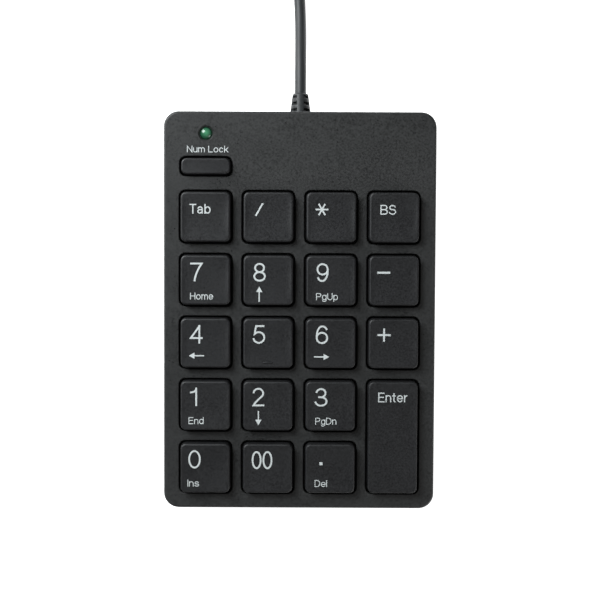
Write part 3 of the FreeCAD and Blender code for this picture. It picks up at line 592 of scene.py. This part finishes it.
def keycap_tree():
    """Carries the section round the cap's outline, and hollows the top from front to rear."""
    numbers = {"Width": 0.015, "Depth": 0.015, "Corner": 0.0015, "Dish": 0.00015, "Bevel": 0.0009,
               "Top": 0.0026, "Sides": CAP_SIDES}
    tree = Tree("keycap_shell", numbers)
    given, times = tree.number, tree.times
    section = given("Geometry")
    rounded = tree.rounded_box(given("Width"), given("Depth"), given("Corner"), 16)
    even = tree.make("ResampleCurve", {"Curve": rounded, "Count": given("Sides")})
    counted = tree.add("GeometryNodeAttributeDomainSize", {"Geometry": section}, component="CURVE")
    rings = counted.outputs["Point Count"]
    columns = tree.maths("ADD", given("Sides"), 1.0)
    grid = tree.make("MeshGrid", {"Vertices X": columns, "Vertices Y": rings})
    index = tree.make("InputIndex")
    column = tree.maths("FLOOR", tree.maths("DIVIDE", tree.maths("ADD", index, 0.5), rings))
    ring = tree.maths("SUBTRACT", index, times(column, rings))
    side = tree.maths("MODULO", column, given("Sides"))
    place = tree.make("InputPosition")
    tangent = tree.make("InputTangent")
    along = tree.split(tree.sample(even, tangent, side))
    outline = tree.sample(even, place, side)
    outward = tree.vector(along[1], times(along[0], -1.0))
    dot = tree.add("ShaderNodeVectorMath", {0: outward, 1: outline}, operation="DOT_PRODUCT")
    step = tree.split(tree.sample(section, place, ring))
    offset = times(step[0], tree.maths("SIGN", dot.outputs["Value"]))
    shift = tree.resized(outward, offset)
    reached = tree.add("ShaderNodeVectorMath", {0: outline, 1: shift}, operation="ADD").outputs[0]
    flat = tree.split(tree.resized(reached, step[2]))
    over_x = tree.share_of(flat[0], given("Width"), given("Bevel"))
    over_y = tree.share_of(flat[1], given("Depth"), given("Bevel"))
    bowl = tree.maths("SUBTRACT", 1.0, tree.maths("POWER", over_y, 2.0))
    ends = tree.maths("SUBTRACT", 1.0, tree.maths("POWER", over_x, 8.0))
    on_top = tree.maths("GREATER_THAN", step[1], tree.maths("SUBTRACT", given("Top"), 1e-6))
    deepest = times(given("Dish"), on_top)
    sag = times(deepest, times(bowl, ends))
    where = tree.vector(flat[0], flat[1], tree.maths("SUBTRACT", step[1], sag))
    shell = tree.make("SetPosition", {"Geometry": grid, "Position": where})
    tree.end(tree.make("MergeByDistance", {"Geometry": shell, "Distance": 1e-6}))
    return tree


def dish_height(x, y, width, depth, bevel, dish, top):
    """Height of a cap's hollow top over a point, in metres, as the tree makes it."""
    over_x = min(1.0, abs(2 * x / (width - 2 * bevel)))
    over_y = min(1.0, abs(2 * y / (depth - 2 * bevel)))
    return top - dish * (1 - over_y**2) * (1 - over_x**8)


def cap_fittings(key, roof, small):
    """The stem, the two latch arms and, under Enter, the two slotted lugs for its wire."""
    stem, half = (0.9, 0.9) if small else (2.0, 1.4)
    made = [block((-stem, -stem, STEM_FOOT), (stem, stem, roof), 0.3)]
    near, far = LATCH_MIDDLE - LATCH_THICK / 2, LATCH_MIDDLE + LATCH_THICK / 2
    for turn in ((90, 270) if key == "enter" else (0, 180)):
        arm = block((near, -half, LATCH_FOOT), (far, half, roof), 0.08)
        nib = block((far - 0.2, -half, LATCH_FOOT), (far + LATCH_NIB, half, NIB_TOP), 0.08)
        made += [placed(part, Matrix.Rotation(math.radians(turn), 4, "Z")) for part in (arm, nib)]
    if key == "enter":
        wire_high = on_deck("enter_stabiliser_wire")[1] / MM
        tip_u = wire_high.x - key_place("enter")[0].x / MM - WIRE_RADIUS
        tip_n = wire_high.z - WIRE_RADIUS
        for side in (-1, 1):
            low, high = sorted((side * (LUG_HALF_SPAN - 0.25), side * (LUG_HALF_SPAN + 0.75)))
            for low_n, high_n in ((tip_n - 1.2, tip_n - 0.6), (tip_n + 0.6, roof)):
                made.append(block((tip_u - 2.0, low, low_n), (tip_u + 2.0, high, high_n), 0.05))
            for end in (-1, 1):
                inner, outer = sorted((tip_u + end * 1.1, tip_u + end * 2.0))
                made.append(block((inner, low, tip_n - 1.2), (outer, high, tip_n + 0.7), 0.05))
    return made


HOME_BAR_AT = -5.85 * MM  # the raised bar on the middle digit, from the key's middle


def make_keycaps():
    shell_tree = keycap_tree()
    for key in KEYS:
        middle, size, rise = key_place(key)
        small = key == "num_lock"
        bevel, dish = (0.36, 0.03) if small else (0.42, 0.26)
        section = cap_section(rise / MM, bevel, 0.7 if small else 1.0)
        width, depth = size.x - 2 * CAP_DRAFT, size.y - 2 * CAP_DRAFT
        values = {"Width": width, "Depth": depth, "Corner": CAP_CORNER, "Dish": dish * MM,
                  "Bevel": bevel * MM, "Top": rise, "Sides": CAP_SIDES}
        curve = polyline("section", [(offset * MM, height * MM, share) for offset, height, share in section])
        shell = shell_tree.grow(curve, values, KEY_PLASTIC)
        tidy_mesh(shell, 35)
        parts = [shell] + cap_fittings(key, rise / MM - CAP_ROOF + FITTING_SUNK, small)
        cap = onto_deck(joined("cap_" + key, parts), middle)
        place_piece("cap_" + key, cap, KEY_PLASTIC, "key_" + key, ["keycap_" + key])

        def surface(x, y):
            return dish_height(x, y, width, depth, bevel * MM, dish * MM, rise)

        strokes = key_legend(key, depth / MM / 2)
        if strokes:
            ink = onto_deck(printed(strokes, surface), middle)
            place_piece("legend_" + key, ink, LEGEND_INK, "key_" + key)
        if key == "5":
            bar = block((-1.5, -0.22, -0.1), (1.5, 0.22, 0.22), 0.12)
            onto_deck(bar, middle + Vector((0, HOME_BAR_AT, 0)), surface(0, HOME_BAR_AT))
            place_piece("home_bar_5", bar, KEY_PLASTIC, "key_5")


# ---- legends ----
# Each glyph is its width and its strokes, in cap heights. x and y run from 0 to 1 between the middles of the
# outermost strokes. A stroke whose ends meet is a loop.
def ring(x, y, across, up):
    return arc((x, y), (across, up), 0, 360, 28)


def turned_over(strokes):
    return [[(1 - x, 1 - y) for x, y in stroke] for stroke in strokes]


SIX = [ring(0.5, 0.31, 0.5, 0.31),
       arc((0.52, 0.4), (0.52, 0.6), 190, 95, 10) + arc((0.52, 0.77), (0.42, 0.23), 85, 15, 6)]
X_HEIGHT = 0.72
BOWL = ring(0.5, 0.36, 0.5, 0.36)
GLYPHS = {
    "0": (0.66, [ring(0.5, 0.5, 0.5, 0.5)]),
    "1": (0.37, [[(1, 0), (1, 1)], arc((0, 1.0), (1.0, 0.24), 0, -90, 8)]),
    "2": (0.66, [arc((0.5, 0.72), (0.48, 0.28), 168, -28, 16)
                 + [(0.52, 0.36), (0.2, 0.16), (0.02, 0.0), (1, 0)]]),
    "3": (0.66, [arc((0.48, 0.755), (0.42, 0.245), 165, -90, 14),
                 arc((0.48, 0.255), (0.52, 0.255), 90, -166, 16), [(0.3, 0.51), (0.5, 0.51)]]),
    "4": (0.70, [[(0.77, 0), (0.77, 1)], [(0.77, 0.97), (0.0, 0.27), (1.0, 0.27)]]),
    "5": (0.66, [[(0.92, 1), (0.2, 1)] + arc((0.48, 0.32), (0.52, 0.32), 138, -163, 20)]),
    "6": (0.66, SIX),
    "7": (0.66, [[(0, 1)] + bend((1, 1), (0.45, 0.5), (0.34, 0), 10)]),
    "8": (0.68, [ring(0.5, 0.755, 0.42, 0.245), ring(0.5, 0.255, 0.5, 0.255)]),
    "9": (0.66, turned_over(SIX)),
    "T": (0.80, [[(0, 1), (1, 1)], [(0.5, 0), (0.5, 1)]]),
    "B": (0.86, [[(0, 0), (0, 1)] + arc((0.56, 0.76), (0.38, 0.24), 90, -90, 10) + [(0, 0.52)],
                 [(0, 0.52)] + arc((0.6, 0.26), (0.4, 0.26), 90, -90, 10) + [(0, 0)]]),
    "S": (0.84, [arc((0.5, 0.755), (0.45, 0.245), 18, 250, 14)
                 + arc((0.5, 0.26), (0.5, 0.26), 68, -162, 14)]),
    "E": (0.78, [[(1, 1), (0, 1), (0, 0), (1, 0)], [(0, 0.52), (0.9, 0.52)]]),
    "H": (0.88, [[(0, 0), (0, 1)], [(1, 0), (1, 1)], [(0, 0.52), (1, 0.52)]]),
    "P": (0.82, [[(0, 0), (0, 1)] + arc((0.6, 0.74), (0.4, 0.26), 90, -90, 10) + [(0, 0.48)]]),
    "U": (0.86, [[(0, 1)] + arc((0.5, 0.34), (0.5, 0.34), 180, 360, 14) + [(1, 1)]]),
    "D": (0.90, [[(0, 0), (0, 1)] + arc((0.45, 0.5), (0.55, 0.5), 90, -90, 14) + [(0, 0)]]),
    "I": (0.0, [[(0.5, 0), (0.5, 1)]]),
    "N": (0.88, [[(0, 0), (0, 1), (1, 0), (1, 1)]]),
    "L": (0.72, [[(0, 1), (0, 0), (1, 0)]]),
    "a": (0.70, [arc((0.45, 0.5), (0.42, 0.22), 165, 0, 10) + [(0.87, 0)],
                 [(0.87, 0.41)] + arc((0.36, 0.2), (0.36, 0.2), 80, 290, 14) + [(0.87, 0.14)]]),
    "b": (0.72, [[(0, 0), (0, 1)], BOWL]),
    "c": (0.68, [arc((0.5, 0.36), (0.5, 0.36), 42, 318, 18)]),
    "d": (0.72, [[(1, 0), (1, 1)], BOWL]),
    "e": (0.74, [[(0.02, 0.36)] + arc((0.5, 0.36), (0.5, 0.36), 0, 318, 20)]),
    "g": (0.72, [BOWL, [(1, X_HEIGHT)] + arc((0.5, -0.06), (0.5, 0.22), 0, -150, 10)]),
    "k": (0.66, [[(0, 0), (0, 1)], [(0.95, X_HEIGHT), (0.0, 0.24)], [(0.36, 0.43), (1, 0)]]),
    "l": (0.0, [[(0.5, 0), (0.5, 1)]]),
    "m": (1.10, [[(0, 0), (0, X_HEIGHT)], arc((0.25, 0.45), (0.25, 0.27), 180, 0, 8) + [(0.5, 0)],
                 arc((0.75, 0.45), (0.25, 0.27), 180, 0, 8) + [(1, 0)]]),
    "n": (0.68, [[(0, 0), (0, X_HEIGHT)], arc((0.5, 0.43), (0.5, 0.29), 180, 0, 10) + [(1, 0)]]),
    "o": (0.76, [BOWL]),
    "p": (0.72, [[(0, -0.26), (0, X_HEIGHT)], BOWL]),
    "r": (0.42, [[(0, 0), (0, X_HEIGHT)], arc((0.9, 0.34), (0.9, 0.37), 175, 92, 6)]),
    "s": (0.66, [[(x, y * X_HEIGHT) for x, y in arc((0.5, 0.755), (0.45, 0.245), 18, 250, 12)
                  + arc((0.5, 0.26), (0.5, 0.26), 68, -162, 12)]]),
    "t": (0.40, [[(0.45, 0.94)] + arc((0.9, 0.18), (0.45, 0.18), 180, 275, 6),
                 [(0, 0.69), (0.95, 0.69)]]),
    "u": (0.68, [[(0, X_HEIGHT)] + arc((0.5, 0.28), (0.5, 0.28), 180, 345, 10),
                 [(1, X_HEIGHT), (1, 0)]]),
}
LETTER_GAP, WORD_GAP = 0.14, 0.36


def squared(points, reach):
    """An open line with both ends carried on by a reach. A loop stays as it is."""
    if math.dist(points[0], points[-1]) < 1e-6:
        return points
    first = Vector(points[0]) + (Vector(points[0]) - Vector(points[1])).normalized() * reach
    last = Vector(points[-1]) + (Vector(points[-1]) - Vector(points[-2])).normalized() * reach
    return [tuple(first)] + points[1:-1] + [tuple(last)]


def word(text, left, base, width, cap, thick, gap=LETTER_GAP):
    """The strokes of a word with its left end, baseline, whole width and cap height, all in millimetres."""
    widths = [WORD_GAP if letter == " " else GLYPHS[letter][0] + thick / cap for letter in text]
    run = sum(widths) + gap * (len(text) - 1)
    stretch = width / run
    strokes = []
    start = 0.0
    for letter, wide in zip(text, widths):
        if letter != " ":
            for stroke in GLYPHS[letter][1]:
                inner = wide * stretch - thick
                first = left + start * stretch + thick / 2
                moved = [(first + x * inner, base + thick / 2 + y * (cap - thick)) for x, y in stroke]
                strokes.append((squared(moved, thick / 2), thick))
        start += wide + gap
    return strokes


def arrow(start, end, shaft=0.38, head=(1.9, 1.7)):
    """A straight arrow: its shaft and its filled head, each a stroke whose thickness may change along it."""
    way = Vector(end) - Vector(start)
    neck = Vector(end) - way.normalized() * head[1]
    overlap = way.normalized() * 0.2
    return [([tuple(start), tuple(neck + overlap)], shaft), ([tuple(neck), tuple(end)], (head[0], 0.02))]


# The left end and the width of each digit, in millimetres from the key's middle.
DIGITS = {"0": (-5.12, 3.78), "1": (-4.6, 2.15), "2": (-4.67, 3.6), "3": (-4.68, 3.8), "4": (-4.65, 3.9),
          "5": (-4.57, 3.72), "6": (-4.52, 3.72), "7": (-4.6, 3.78), "8": (-4.48, 3.75), "9": (-4.41, 3.65)}
DIGIT_CAP, DIGIT_BASE, DIGIT_THICK = 5.65, -0.38, 0.54
SMALL_CAP, SMALL_BASE, SMALL_THICK = 2.1, -5.9, 0.23
# How much higher the printing sits on the keys of the lower rows.
ROW_RISE = {"4": 0.25, "5": 0.25, "6": 0.25, "plus": 0.25, "1": 0.3, "2": 0.3, "3": 0.3, "point": 0.3,
            "0": 0.27, "00": 0.27}
SMALL_WORDS = {
    "7": ("Home", -4.6, 7.0),
    "9": ("PgUp", -4.5, 6.6),
    "3": ("PgDn", -4.55, 6.4),
    "1": ("End", -5.05, 4.6),
    "0": ("Ins", -5.35, 3.5),
    "point": ("Del", -4.65, 3.75),
}
ARROWS = {
    "8": ((-2.7, -6.5), (-2.7, -1.85)),
    "2": ((-2.85, -1.8), (-2.85, -6.15)),
    "4": ((-0.35, -4.1), (-4.95, -4.1)),
    "6": ((-5.05, -4.3), (-0.45, -4.3)),
}
# Each word's letters, left end, baseline, width, cap height, thickness and gap.
WORDS = {
    "00": ("00", -4.86, DIGIT_BASE - 0.1, 6.34, DIGIT_CAP - 0.1, DIGIT_THICK, 0.07),
    "tab": ("Tab", -4.8, 0.95, 6.4, 2.95, 0.36),
    "backspace": ("BS", -4.25, 0.88, 4.75, 2.95, 0.34),
}
STAR_MIDDLE, STAR_REACH, STAR_THICK = Vector((-2.86, 2.35)), 1.94, 0.48
# Straight strokes: both ends and the thickness.
SIGNS = {
    "slash": [([(-3.84, 0.37), (-1.68, 4.15)], 0.5)],
    "minus": [([(-5.06, 2.48), (-1.1, 2.48)], 0.62)],
    "plus": [([(-4.88, 2.42), (-0.84, 2.42)], 0.56), ([(-2.86, 0.42), (-2.86, 4.42)], 0.56)],
    "point": [([(-3.24, 1.24), (-2.28, 1.24)], 0.92)],
    "asterisk": [],
}
for star_turn in (0, 60, 120):
    star_arm = Matrix.Rotation(math.radians(star_turn), 2) @ Vector((STAR_REACH, 0))
    SIGNS["asterisk"].append(([tuple(STAR_MIDDLE - star_arm), tuple(STAR_MIDDLE + star_arm)], STAR_THICK))


def key_legend(key, half_depth):
    """The strokes printed on a key: their points and thickness, in millimetres from the key's middle."""
    strokes = []
    if key in DIGITS:
        left, width = DIGITS[key]
        strokes += word(key, left, DIGIT_BASE, width, DIGIT_CAP, DIGIT_THICK)
    if key in SMALL_WORDS:
        text, left, width = SMALL_WORDS[key]
        strokes += word(text, left, SMALL_BASE, width, SMALL_CAP, SMALL_THICK)
    if key in ARROWS:
        strokes += arrow(*ARROWS[key])
    if key in WORDS:
        strokes += word(*WORDS[key])
    if key == "enter":
        strokes += word("Enter", -4.5, half_depth - 6.1, 9.0, 2.95, 0.34)
    strokes += SIGNS.get(key, [])
    rise = ROW_RISE.get(key, 0.0)
    return [([(x, y + rise) for x, y in line], thick) for line, thick in strokes]


def divided(points, longest=0.9):
    """The points with more added so that no run is longer than the given length."""
    made = [points[0]]
    for start, end in zip(points, points[1:]):
        pieces = max(1, math.ceil(math.dist(start, end) / longest))
        for piece in range(1, pieces + 1):
            share = piece / pieces
            made.append(tuple(a + (b - a) * share for a, b in zip(start, end)))
    return made


def ribbon(points, thick):
    """The left and right edges of a stroke, with mitred corners."""
    first, last = thick if isinstance(thick, tuple) else (thick, thick)
    points = divided(points)
    looped = math.dist(points[0], points[-1]) < 1e-6
    if looped:
        points = points[:-1]
    count = len(points)
    left, right = [], []
    for index, point in enumerate(points):
        before = points[index - 1] if looped or index else None
        after = points[(index + 1) % count] if looped or index < count - 1 else None
        into = (Vector(point) - Vector(before)).normalized() if before else None
        out = (Vector(after) - Vector(point)).normalized() if after else None
        into, out = into or out, out or into
        across = Vector((-into.y - out.y, into.x + out.x)).normalized()
        reach = 1 / max(0.35, across.dot(Vector((-into.y, into.x))))
        half = (first + (last - first) * index / max(1, count - 1)) / 2
        left.append(Vector(point) + across * half * reach)
        right.append(Vector(point) - across * half * reach)
    return left, right, looped


INK_PROUD, INK_STEP, INK_SUNK = 0.018 * MM, 0.0015 * MM, 0.06 * MM


def printed(strokes, surface):
    """A thin closed layer for each stroke, just proud of a surface given as its height over a point."""
    points, faces = [], []
    for number, (line, thick) in enumerate(strokes):
        left, right, looped = ribbon(line, thick)
        start, count = len(points), len(left)
        for sides in zip(left, right):
            for side in sides:
                x, y = side * MM
                points.append((x, y, surface(x, y) + INK_PROUD + number * INK_STEP))
                points.append((x, y, surface(x, y) - INK_SUNK))
        runs = count if looped else count - 1
        for run in range(runs):
            a, b = start + 4 * run, start + 4 * ((run + 1) % count)
            faces += [(a, b, b + 2, a + 2), (a + 1, a + 3, b + 3, b + 1)]
            faces += [(a, a + 1, b + 1, b), (a + 2, b + 2, b + 3, a + 3)]
        if not looped:
            end = start + 4 * (count - 1)
            faces += [(start, start + 2, start + 3, start + 1), (end, end + 1, end + 3, end + 2)]
    return solid_from(points, faces)


def make_deck_legend():
    """The lock button's name, printed on the deck above it."""
    strokes = word("Num Lock", -5.75, 4.2, 12.55, 2.0, 0.23)
    ink = onto_deck(printed(strokes, lambda x, y: 0.0), key_place("num_lock")[0])
    place_piece("legend_num_lock", ink, LEGEND_INK, "housing")


# ---- domes ----
def make_domes():
    """One silicone dome under each key."""
    for key in KEYS:
        low, high = on_deck("dome_" + key)
        middle, base = (low + high) / 2, (high.x - low.x) / 2 / MM
        bottom, top = low.z / MM, high.z / MM
        crown = 1.6 if key == "num_lock" else 2.6
        root = base - 0.7
        outside = [(base, bottom), (base, bottom + 0.27), (base - 0.08, bottom + 0.35)]
        outside += [(root + 0.1, bottom + 0.35)]
        outside += bend((root, bottom + 0.45), (crown + 0.5, top - 1.5), (crown, top - 0.8), 6)
        outside += arc((crown - 0.35, top - 0.35), (0.35, 0.35), 0, 90, 4)
        inside = [(0, top), (0, bottom + 1.0), (crown / 2 - 0.1, bottom + 1.0), (crown / 2, bottom + 1.1)]
        inside += [(crown / 2, top - 1.2), (crown / 2 + 0.1, top - 1.1), (crown - 0.5, top - 1.1)]
        inside += bend((crown - 0.5, top - 1.2), (crown, top - 1.9), (root - 0.55, bottom), 6)
        dome = onto_deck(revolved(scaled(outside + inside)), middle)
        name = "silicone_dome_" + key
        piece = place_piece(name, dome, DOME_SILICONE, "housing", ["dome_" + key])
        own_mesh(piece)


# ---- lamp ----
LENS_RADIUS = 1.8


def make_lamp():
    """A small lamp with a flange and a round nose, on two leads that reach the board."""
    low, high = on_deck("num_lock_lamp")
    middle = (low + high) / 2
    flange, foot, top = (high.x - low.x) / 2 / MM, low.z / MM, high.z / MM
    profile = [(0, foot), (flange - 0.05, foot), (flange, foot + 0.05), (flange, foot + 0.85)]
    profile += [(flange - 0.05, foot + 0.9), (LENS_RADIUS, foot + 0.9)]
    profile += arc((0, top - 1.1), (LENS_RADIUS, 1.1), 0, 90, 12)[:-1] + [(0, top)]
    lens = onto_deck(revolved(scaled(profile)), middle)
    place_piece("lamp_lens", lens, LAMP_GREEN, "housing", ["num_lock_lamp"])
    board_top = on_deck("controller_board")[1].z / MM
    leads = []
    for across in (-1.27, 1.27):
        leads.append(block((across - 0.25, -0.25, board_top), (across + 0.25, 0.25, foot), 0.05))
    pins = onto_deck(joined("lamp_leads", leads), middle)
    place_piece("lamp_leads", pins, PLUG_NICKEL, "housing")


# ---- strain relief ----
RELIEF_TIP, RELIEF_ROOT = 2.45, 3.25  # the sleeve's radius at its tip and at the case
RELIEF_BEVEL, RELIEF_COLLAR, RIB_PITCH, RELIEF_SLOT = 0.45, 0.9, 2.05, 0.78
RELIEF_SPINE, RELIEF_WEB = 1.0, 0.6  # half the width of the upright spine, half the height of the level web
RELIEF_CORE, RELIEF_BORE = 1.35, 0.9  # the radius where the ribs start, and inside the two end rings


def rib_tree():
    """Ribs along the relief: rounded rings whose size grows towards the case, with slots between them."""
    numbers = {"Ribs": 3, "Pitch": 0.0021, "Thickness": 0.00125, "Tip Radius": 0.0026, "Growth": 0.0002,
               "Core": 0.0015}
    tree = Tree("relief_ribs", numbers)
    given, times = tree.number, tree.times
    stations = tree.stations(tree.vector(0.0, 0.0, given("Pitch")))
    half = tree.maths("DIVIDE", tree.maths("SUBTRACT", given("Tip Radius"), given("Core")), 2.0)
    middle = tree.maths("ADD", given("Core"), half)
    rounding = times(given("Thickness"), 0.22)
    section = tree.rounded_box(times(half, 2.0), given("Thickness"), rounding, 4)
    circle = tree.make("CurvePrimitiveCircle", {"Resolution": 48, "Radius": middle})
    rib = tree.make("CurveToMesh", {"Curve": circle, "Profile Curve": section})
    index = tree.make("InputIndex")
    gain = tree.maths("DIVIDE", times(index, given("Growth")), given("Tip Radius"))
    grown = tree.maths("ADD", 1.0, gain)
    values = {"Points": stations, "Instance": rib, "Scale": tree.vector(grown, grown, 1.0)}
    tree.end(tree.make("InstanceOnPoints", values))
    return tree


def relief_radius(back):
    """The sleeve's radius at a distance in from its tip, in millimetres."""
    length = (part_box("strain_relief")[1].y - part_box("top_cover")[1].y) / MM - RELIEF_BEVEL
    return RELIEF_TIP + (RELIEF_ROOT - RELIEF_TIP) * max(0.0, back - RELIEF_BEVEL) / length


def relief_wall(turn, half, length):
    """A wall through the sleeve's axis, as wide as the sleeve: level at 0 degrees, upright at 90."""
    points, faces = [], []
    backs = (RELIEF_COLLAR / 2, length / 2, length + 0.5)
    for back in backs:
        radius = relief_radius(back)
        edge = math.degrees(math.asin(half / radius))
        outline = arc((0, 0), (radius, radius), turn - edge, turn + edge, 8)
        outline += arc((0, 0), (radius, radius), turn + 180 - edge, turn + 180 + edge, 8)
        points += [(x * MM, y * MM, back * MM) for x, y in outline]
    count = len(points) // len(backs)
    for station in range(len(backs) - 1):
        for side in range(count):
            a, b = station * count + side, station * count + (side + 1) % count
            faces.append((a, b, b + count, a + count))
    faces += [tuple(range(count)), tuple(range(len(points) - count, len(points)))]
    return solid_from(points, faces)


def make_strain_relief():
    """A tapered sleeve with slots between a spine and a web, and a square flange inside the case's wall."""
    low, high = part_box("strain_relief")
    length = (high.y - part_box("top_cover")[1].y) / MM
    onto_lead = Matrix.Translation((0, high.y, (low.z + high.z) / 2)) @ Matrix.Rotation(math.pi / 2, 4, "X")
    first = RELIEF_COLLAR + RELIEF_SLOT + (RIB_PITCH - RELIEF_SLOT) / 2
    thinnest = relief_radius(first)
    values = {"Ribs": 3, "Pitch": RIB_PITCH * MM, "Thickness": (RIB_PITCH - RELIEF_SLOT) * MM,
              "Tip Radius": thinnest * MM, "Growth": (relief_radius(first + RIB_PITCH) - thinnest) * MM,
              "Core": RELIEF_CORE * MM}
    ribs = rib_tree().grow(polyline("seed", [(0, 0, 0), (0, 0, 1)]), values, CORD_VINYL)
    placed(ribs, Matrix.Translation((0, 0, first * MM)))
    tidy_mesh(ribs, 50)
    shoulder, rim = RELIEF_TIP - RELIEF_BEVEL, relief_radius(RELIEF_COLLAR)
    collar = [(RELIEF_BORE, 0.0), (shoulder - 0.1, 0.0), (shoulder + 0.08, 0.08)]
    collar += [(RELIEF_TIP - 0.08, RELIEF_BEVEL - 0.06), (RELIEF_TIP, RELIEF_BEVEL + 0.08)]
    collar += [(rim, RELIEF_COLLAR - 0.1), (rim - 0.1, RELIEF_COLLAR), (RELIEF_BORE, RELIEF_COLLAR)]
    seat = [(RELIEF_BORE, length - 0.4), (2.2, length - 0.4), (RELIEF_ROOT, length - 0.02)]
    seat += [(RELIEF_ROOT, length + 1.9), (RELIEF_BORE, length + 1.9)]
    core_radius = CORD_DIAMETER / 2 / MM
    core = [(0, 0.3), (core_radius, 0.3), (core_radius, length), (0, length)]
    turned = [revolved(scaled(profile)) for profile in (collar, seat, core)]
    walls = [relief_wall(90, RELIEF_SPINE, length), relief_wall(0, RELIEF_WEB, length)]
    sleeve = placed(joined("relief_sleeve", [ribs] + turned + walls), onto_lead)
    flange = slab((-4.5 * MM, low.y, low.z), (4.5 * MM, low.y + 2.1 * MM, high.z), 0.25 * MM)
    relief = joined("strain_relief_boot", [sleeve, flange])
    return place_piece("strain_relief_boot", relief, CORD_VINYL, "housing", ["strain_relief"])


# ---- plug ----
TONGUE_HALF = 5.6 * MM


def grip_rib_tree():
    """Shallow finger ribs across the plug's grip, in a row along it."""
    numbers = {"Ribs": 5, "Pitch": 0.002, "Width": 0.011, "Height": 0.0005, "Length": 0.0009}
    tree = Tree("grip_ribs", numbers)
    given, times = tree.number, tree.times
    stations = tree.stations(tree.vector(given("Pitch")))
    rounding = times(given("Length"), 0.45)
    outline = tree.rounded_box(given("Length"), given("Width"), rounding, 5)
    pad = tree.make("FillCurve", {"Curve": outline}, mode="NGONS")
    up = tree.vector(0.0, 0.0, given("Height"))
    raised = tree.make("ExtrudeMesh", {"Mesh": pad, "Offset": up, "Individual": False})
    tree.end(tree.make("InstanceOnPoints", {"Points": stations, "Instance": raised}))
    return tree


def make_plug():
    """The plug's grip with its neck and finger ribs, its tongue and the four contacts on the tongue."""
    low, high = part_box("plug_body")
    shell_low, shell_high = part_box("plug_shell")
    middle = (shell_low + shell_high) / 2
    face, rear = shell_high.x, high.x - 5.0 * MM
    grip = slab((face, low.y, low.z), (rear, high.y, high.z), 1.9 * MM)
    neck = [(0, -0.5), (3.2, -0.5), (3.3, 0)]
    for rib in range(3):
        start, radius = 0.5 + rib * 1.45, 3.1 - rib * 0.25
        neck += [(radius - 0.45, start), (radius - 0.45, start + 0.6)]
        neck += [(radius, start + 0.7), (radius - 0.05, start + 1.3)]
    neck += [(2.4, 4.9), (2.3, 5.0), (0, 5.0)]
    along = Matrix.Translation((rear, middle.y, middle.z)) @ Matrix.Rotation(math.pi / 2, 4, "Y")
    sleeve = placed(revolved(scaled(neck)), along)
    values = {"Ribs": 5, "Pitch": 2.0 * MM, "Width": 9.5 * MM, "Height": 0.3 * MM, "Length": 0.9 * MM}
    ribs = grip_rib_tree().grow(polyline("seed", [(0, 0, 0), (0, 0, 1)]), values, PLUG_VINYL)
    tidy_mesh(ribs)
    placed(ribs, Matrix.Translation(((face + rear) / 2 - 4.0 * MM, middle.y, high.z - 0.3 * MM)))
    body = joined("plug_grip", [grip, sleeve, ribs])
    tongue_low = (shell_low.x + 0.8 * MM, middle.y - TONGUE_HALF, middle.z)
    tongue_high = (face + 0.1 * MM, middle.y + TONGUE_HALF, middle.z + 1.85 * MM)
    contacts = []
    for across, reach in ((-3.5, 9.2), (-1.0, 8.2), (1.0, 8.2), (3.5, 9.2)):
        at = middle.y + across * MM
        contact_low = (face - reach * MM, at - 0.5 * MM, middle.z - 0.12 * MM)
        contacts.append(slab(contact_low, (face, at + 0.5 * MM, middle.z + 0.1 * MM), 0.05 * MM))
    strips = joined("plug_contacts", contacts)
    tongue = slab(tongue_low, tongue_high, 0.15 * MM)
    return [
        place_piece("plug_grip", body, PLUG_VINYL, "housing", ["plug_body"]),
        place_piece("plug_tongue", tongue, TONGUE_WHITE, "housing"),
        place_piece("plug_contacts", strips, CONTACT_GOLD, "housing"),
    ]


# ---- finish on the CAD nodes that stay ----
NODE_FINISHES = {
    "top_cover": CASE_PLASTIC,
    "bottom_cover": CASE_PLASTIC,
    "key_guide_frame": INNER_PLASTIC,
    "upper_circuit_film": FILM_SHEET,
    "spacer_film": FILM_SHEET,
    "lower_circuit_film": FILM_SHEET,
    "support_plate": PLATE_STEEL,
    "enter_stabiliser_wire": WIRE_STEEL,
    "controller_board": BOARD_GREEN,
    "board_components": CHIP_PLASTIC,
    "film_clamp_bar": PLATE_STEEL,
    "screws": SCREW_STEEL,
    "rubber_feet": FOOT_RUBBER,
    "coil_tie": TIE_STRAP,
    "plug_shell": PLUG_NICKEL,
}


def finish_nodes():
    for node, material in NODE_FINISHES.items():
        mesh = frame["nodes"][node].data
        mesh.materials.clear()
        mesh.materials.append(material)


make_camera()
make_stage()
finish_nodes()
relief = make_strain_relief()
plug_pieces = make_plug()
make_cord()
make_keycaps()
make_deck_legend()
make_domes()
make_lamp()
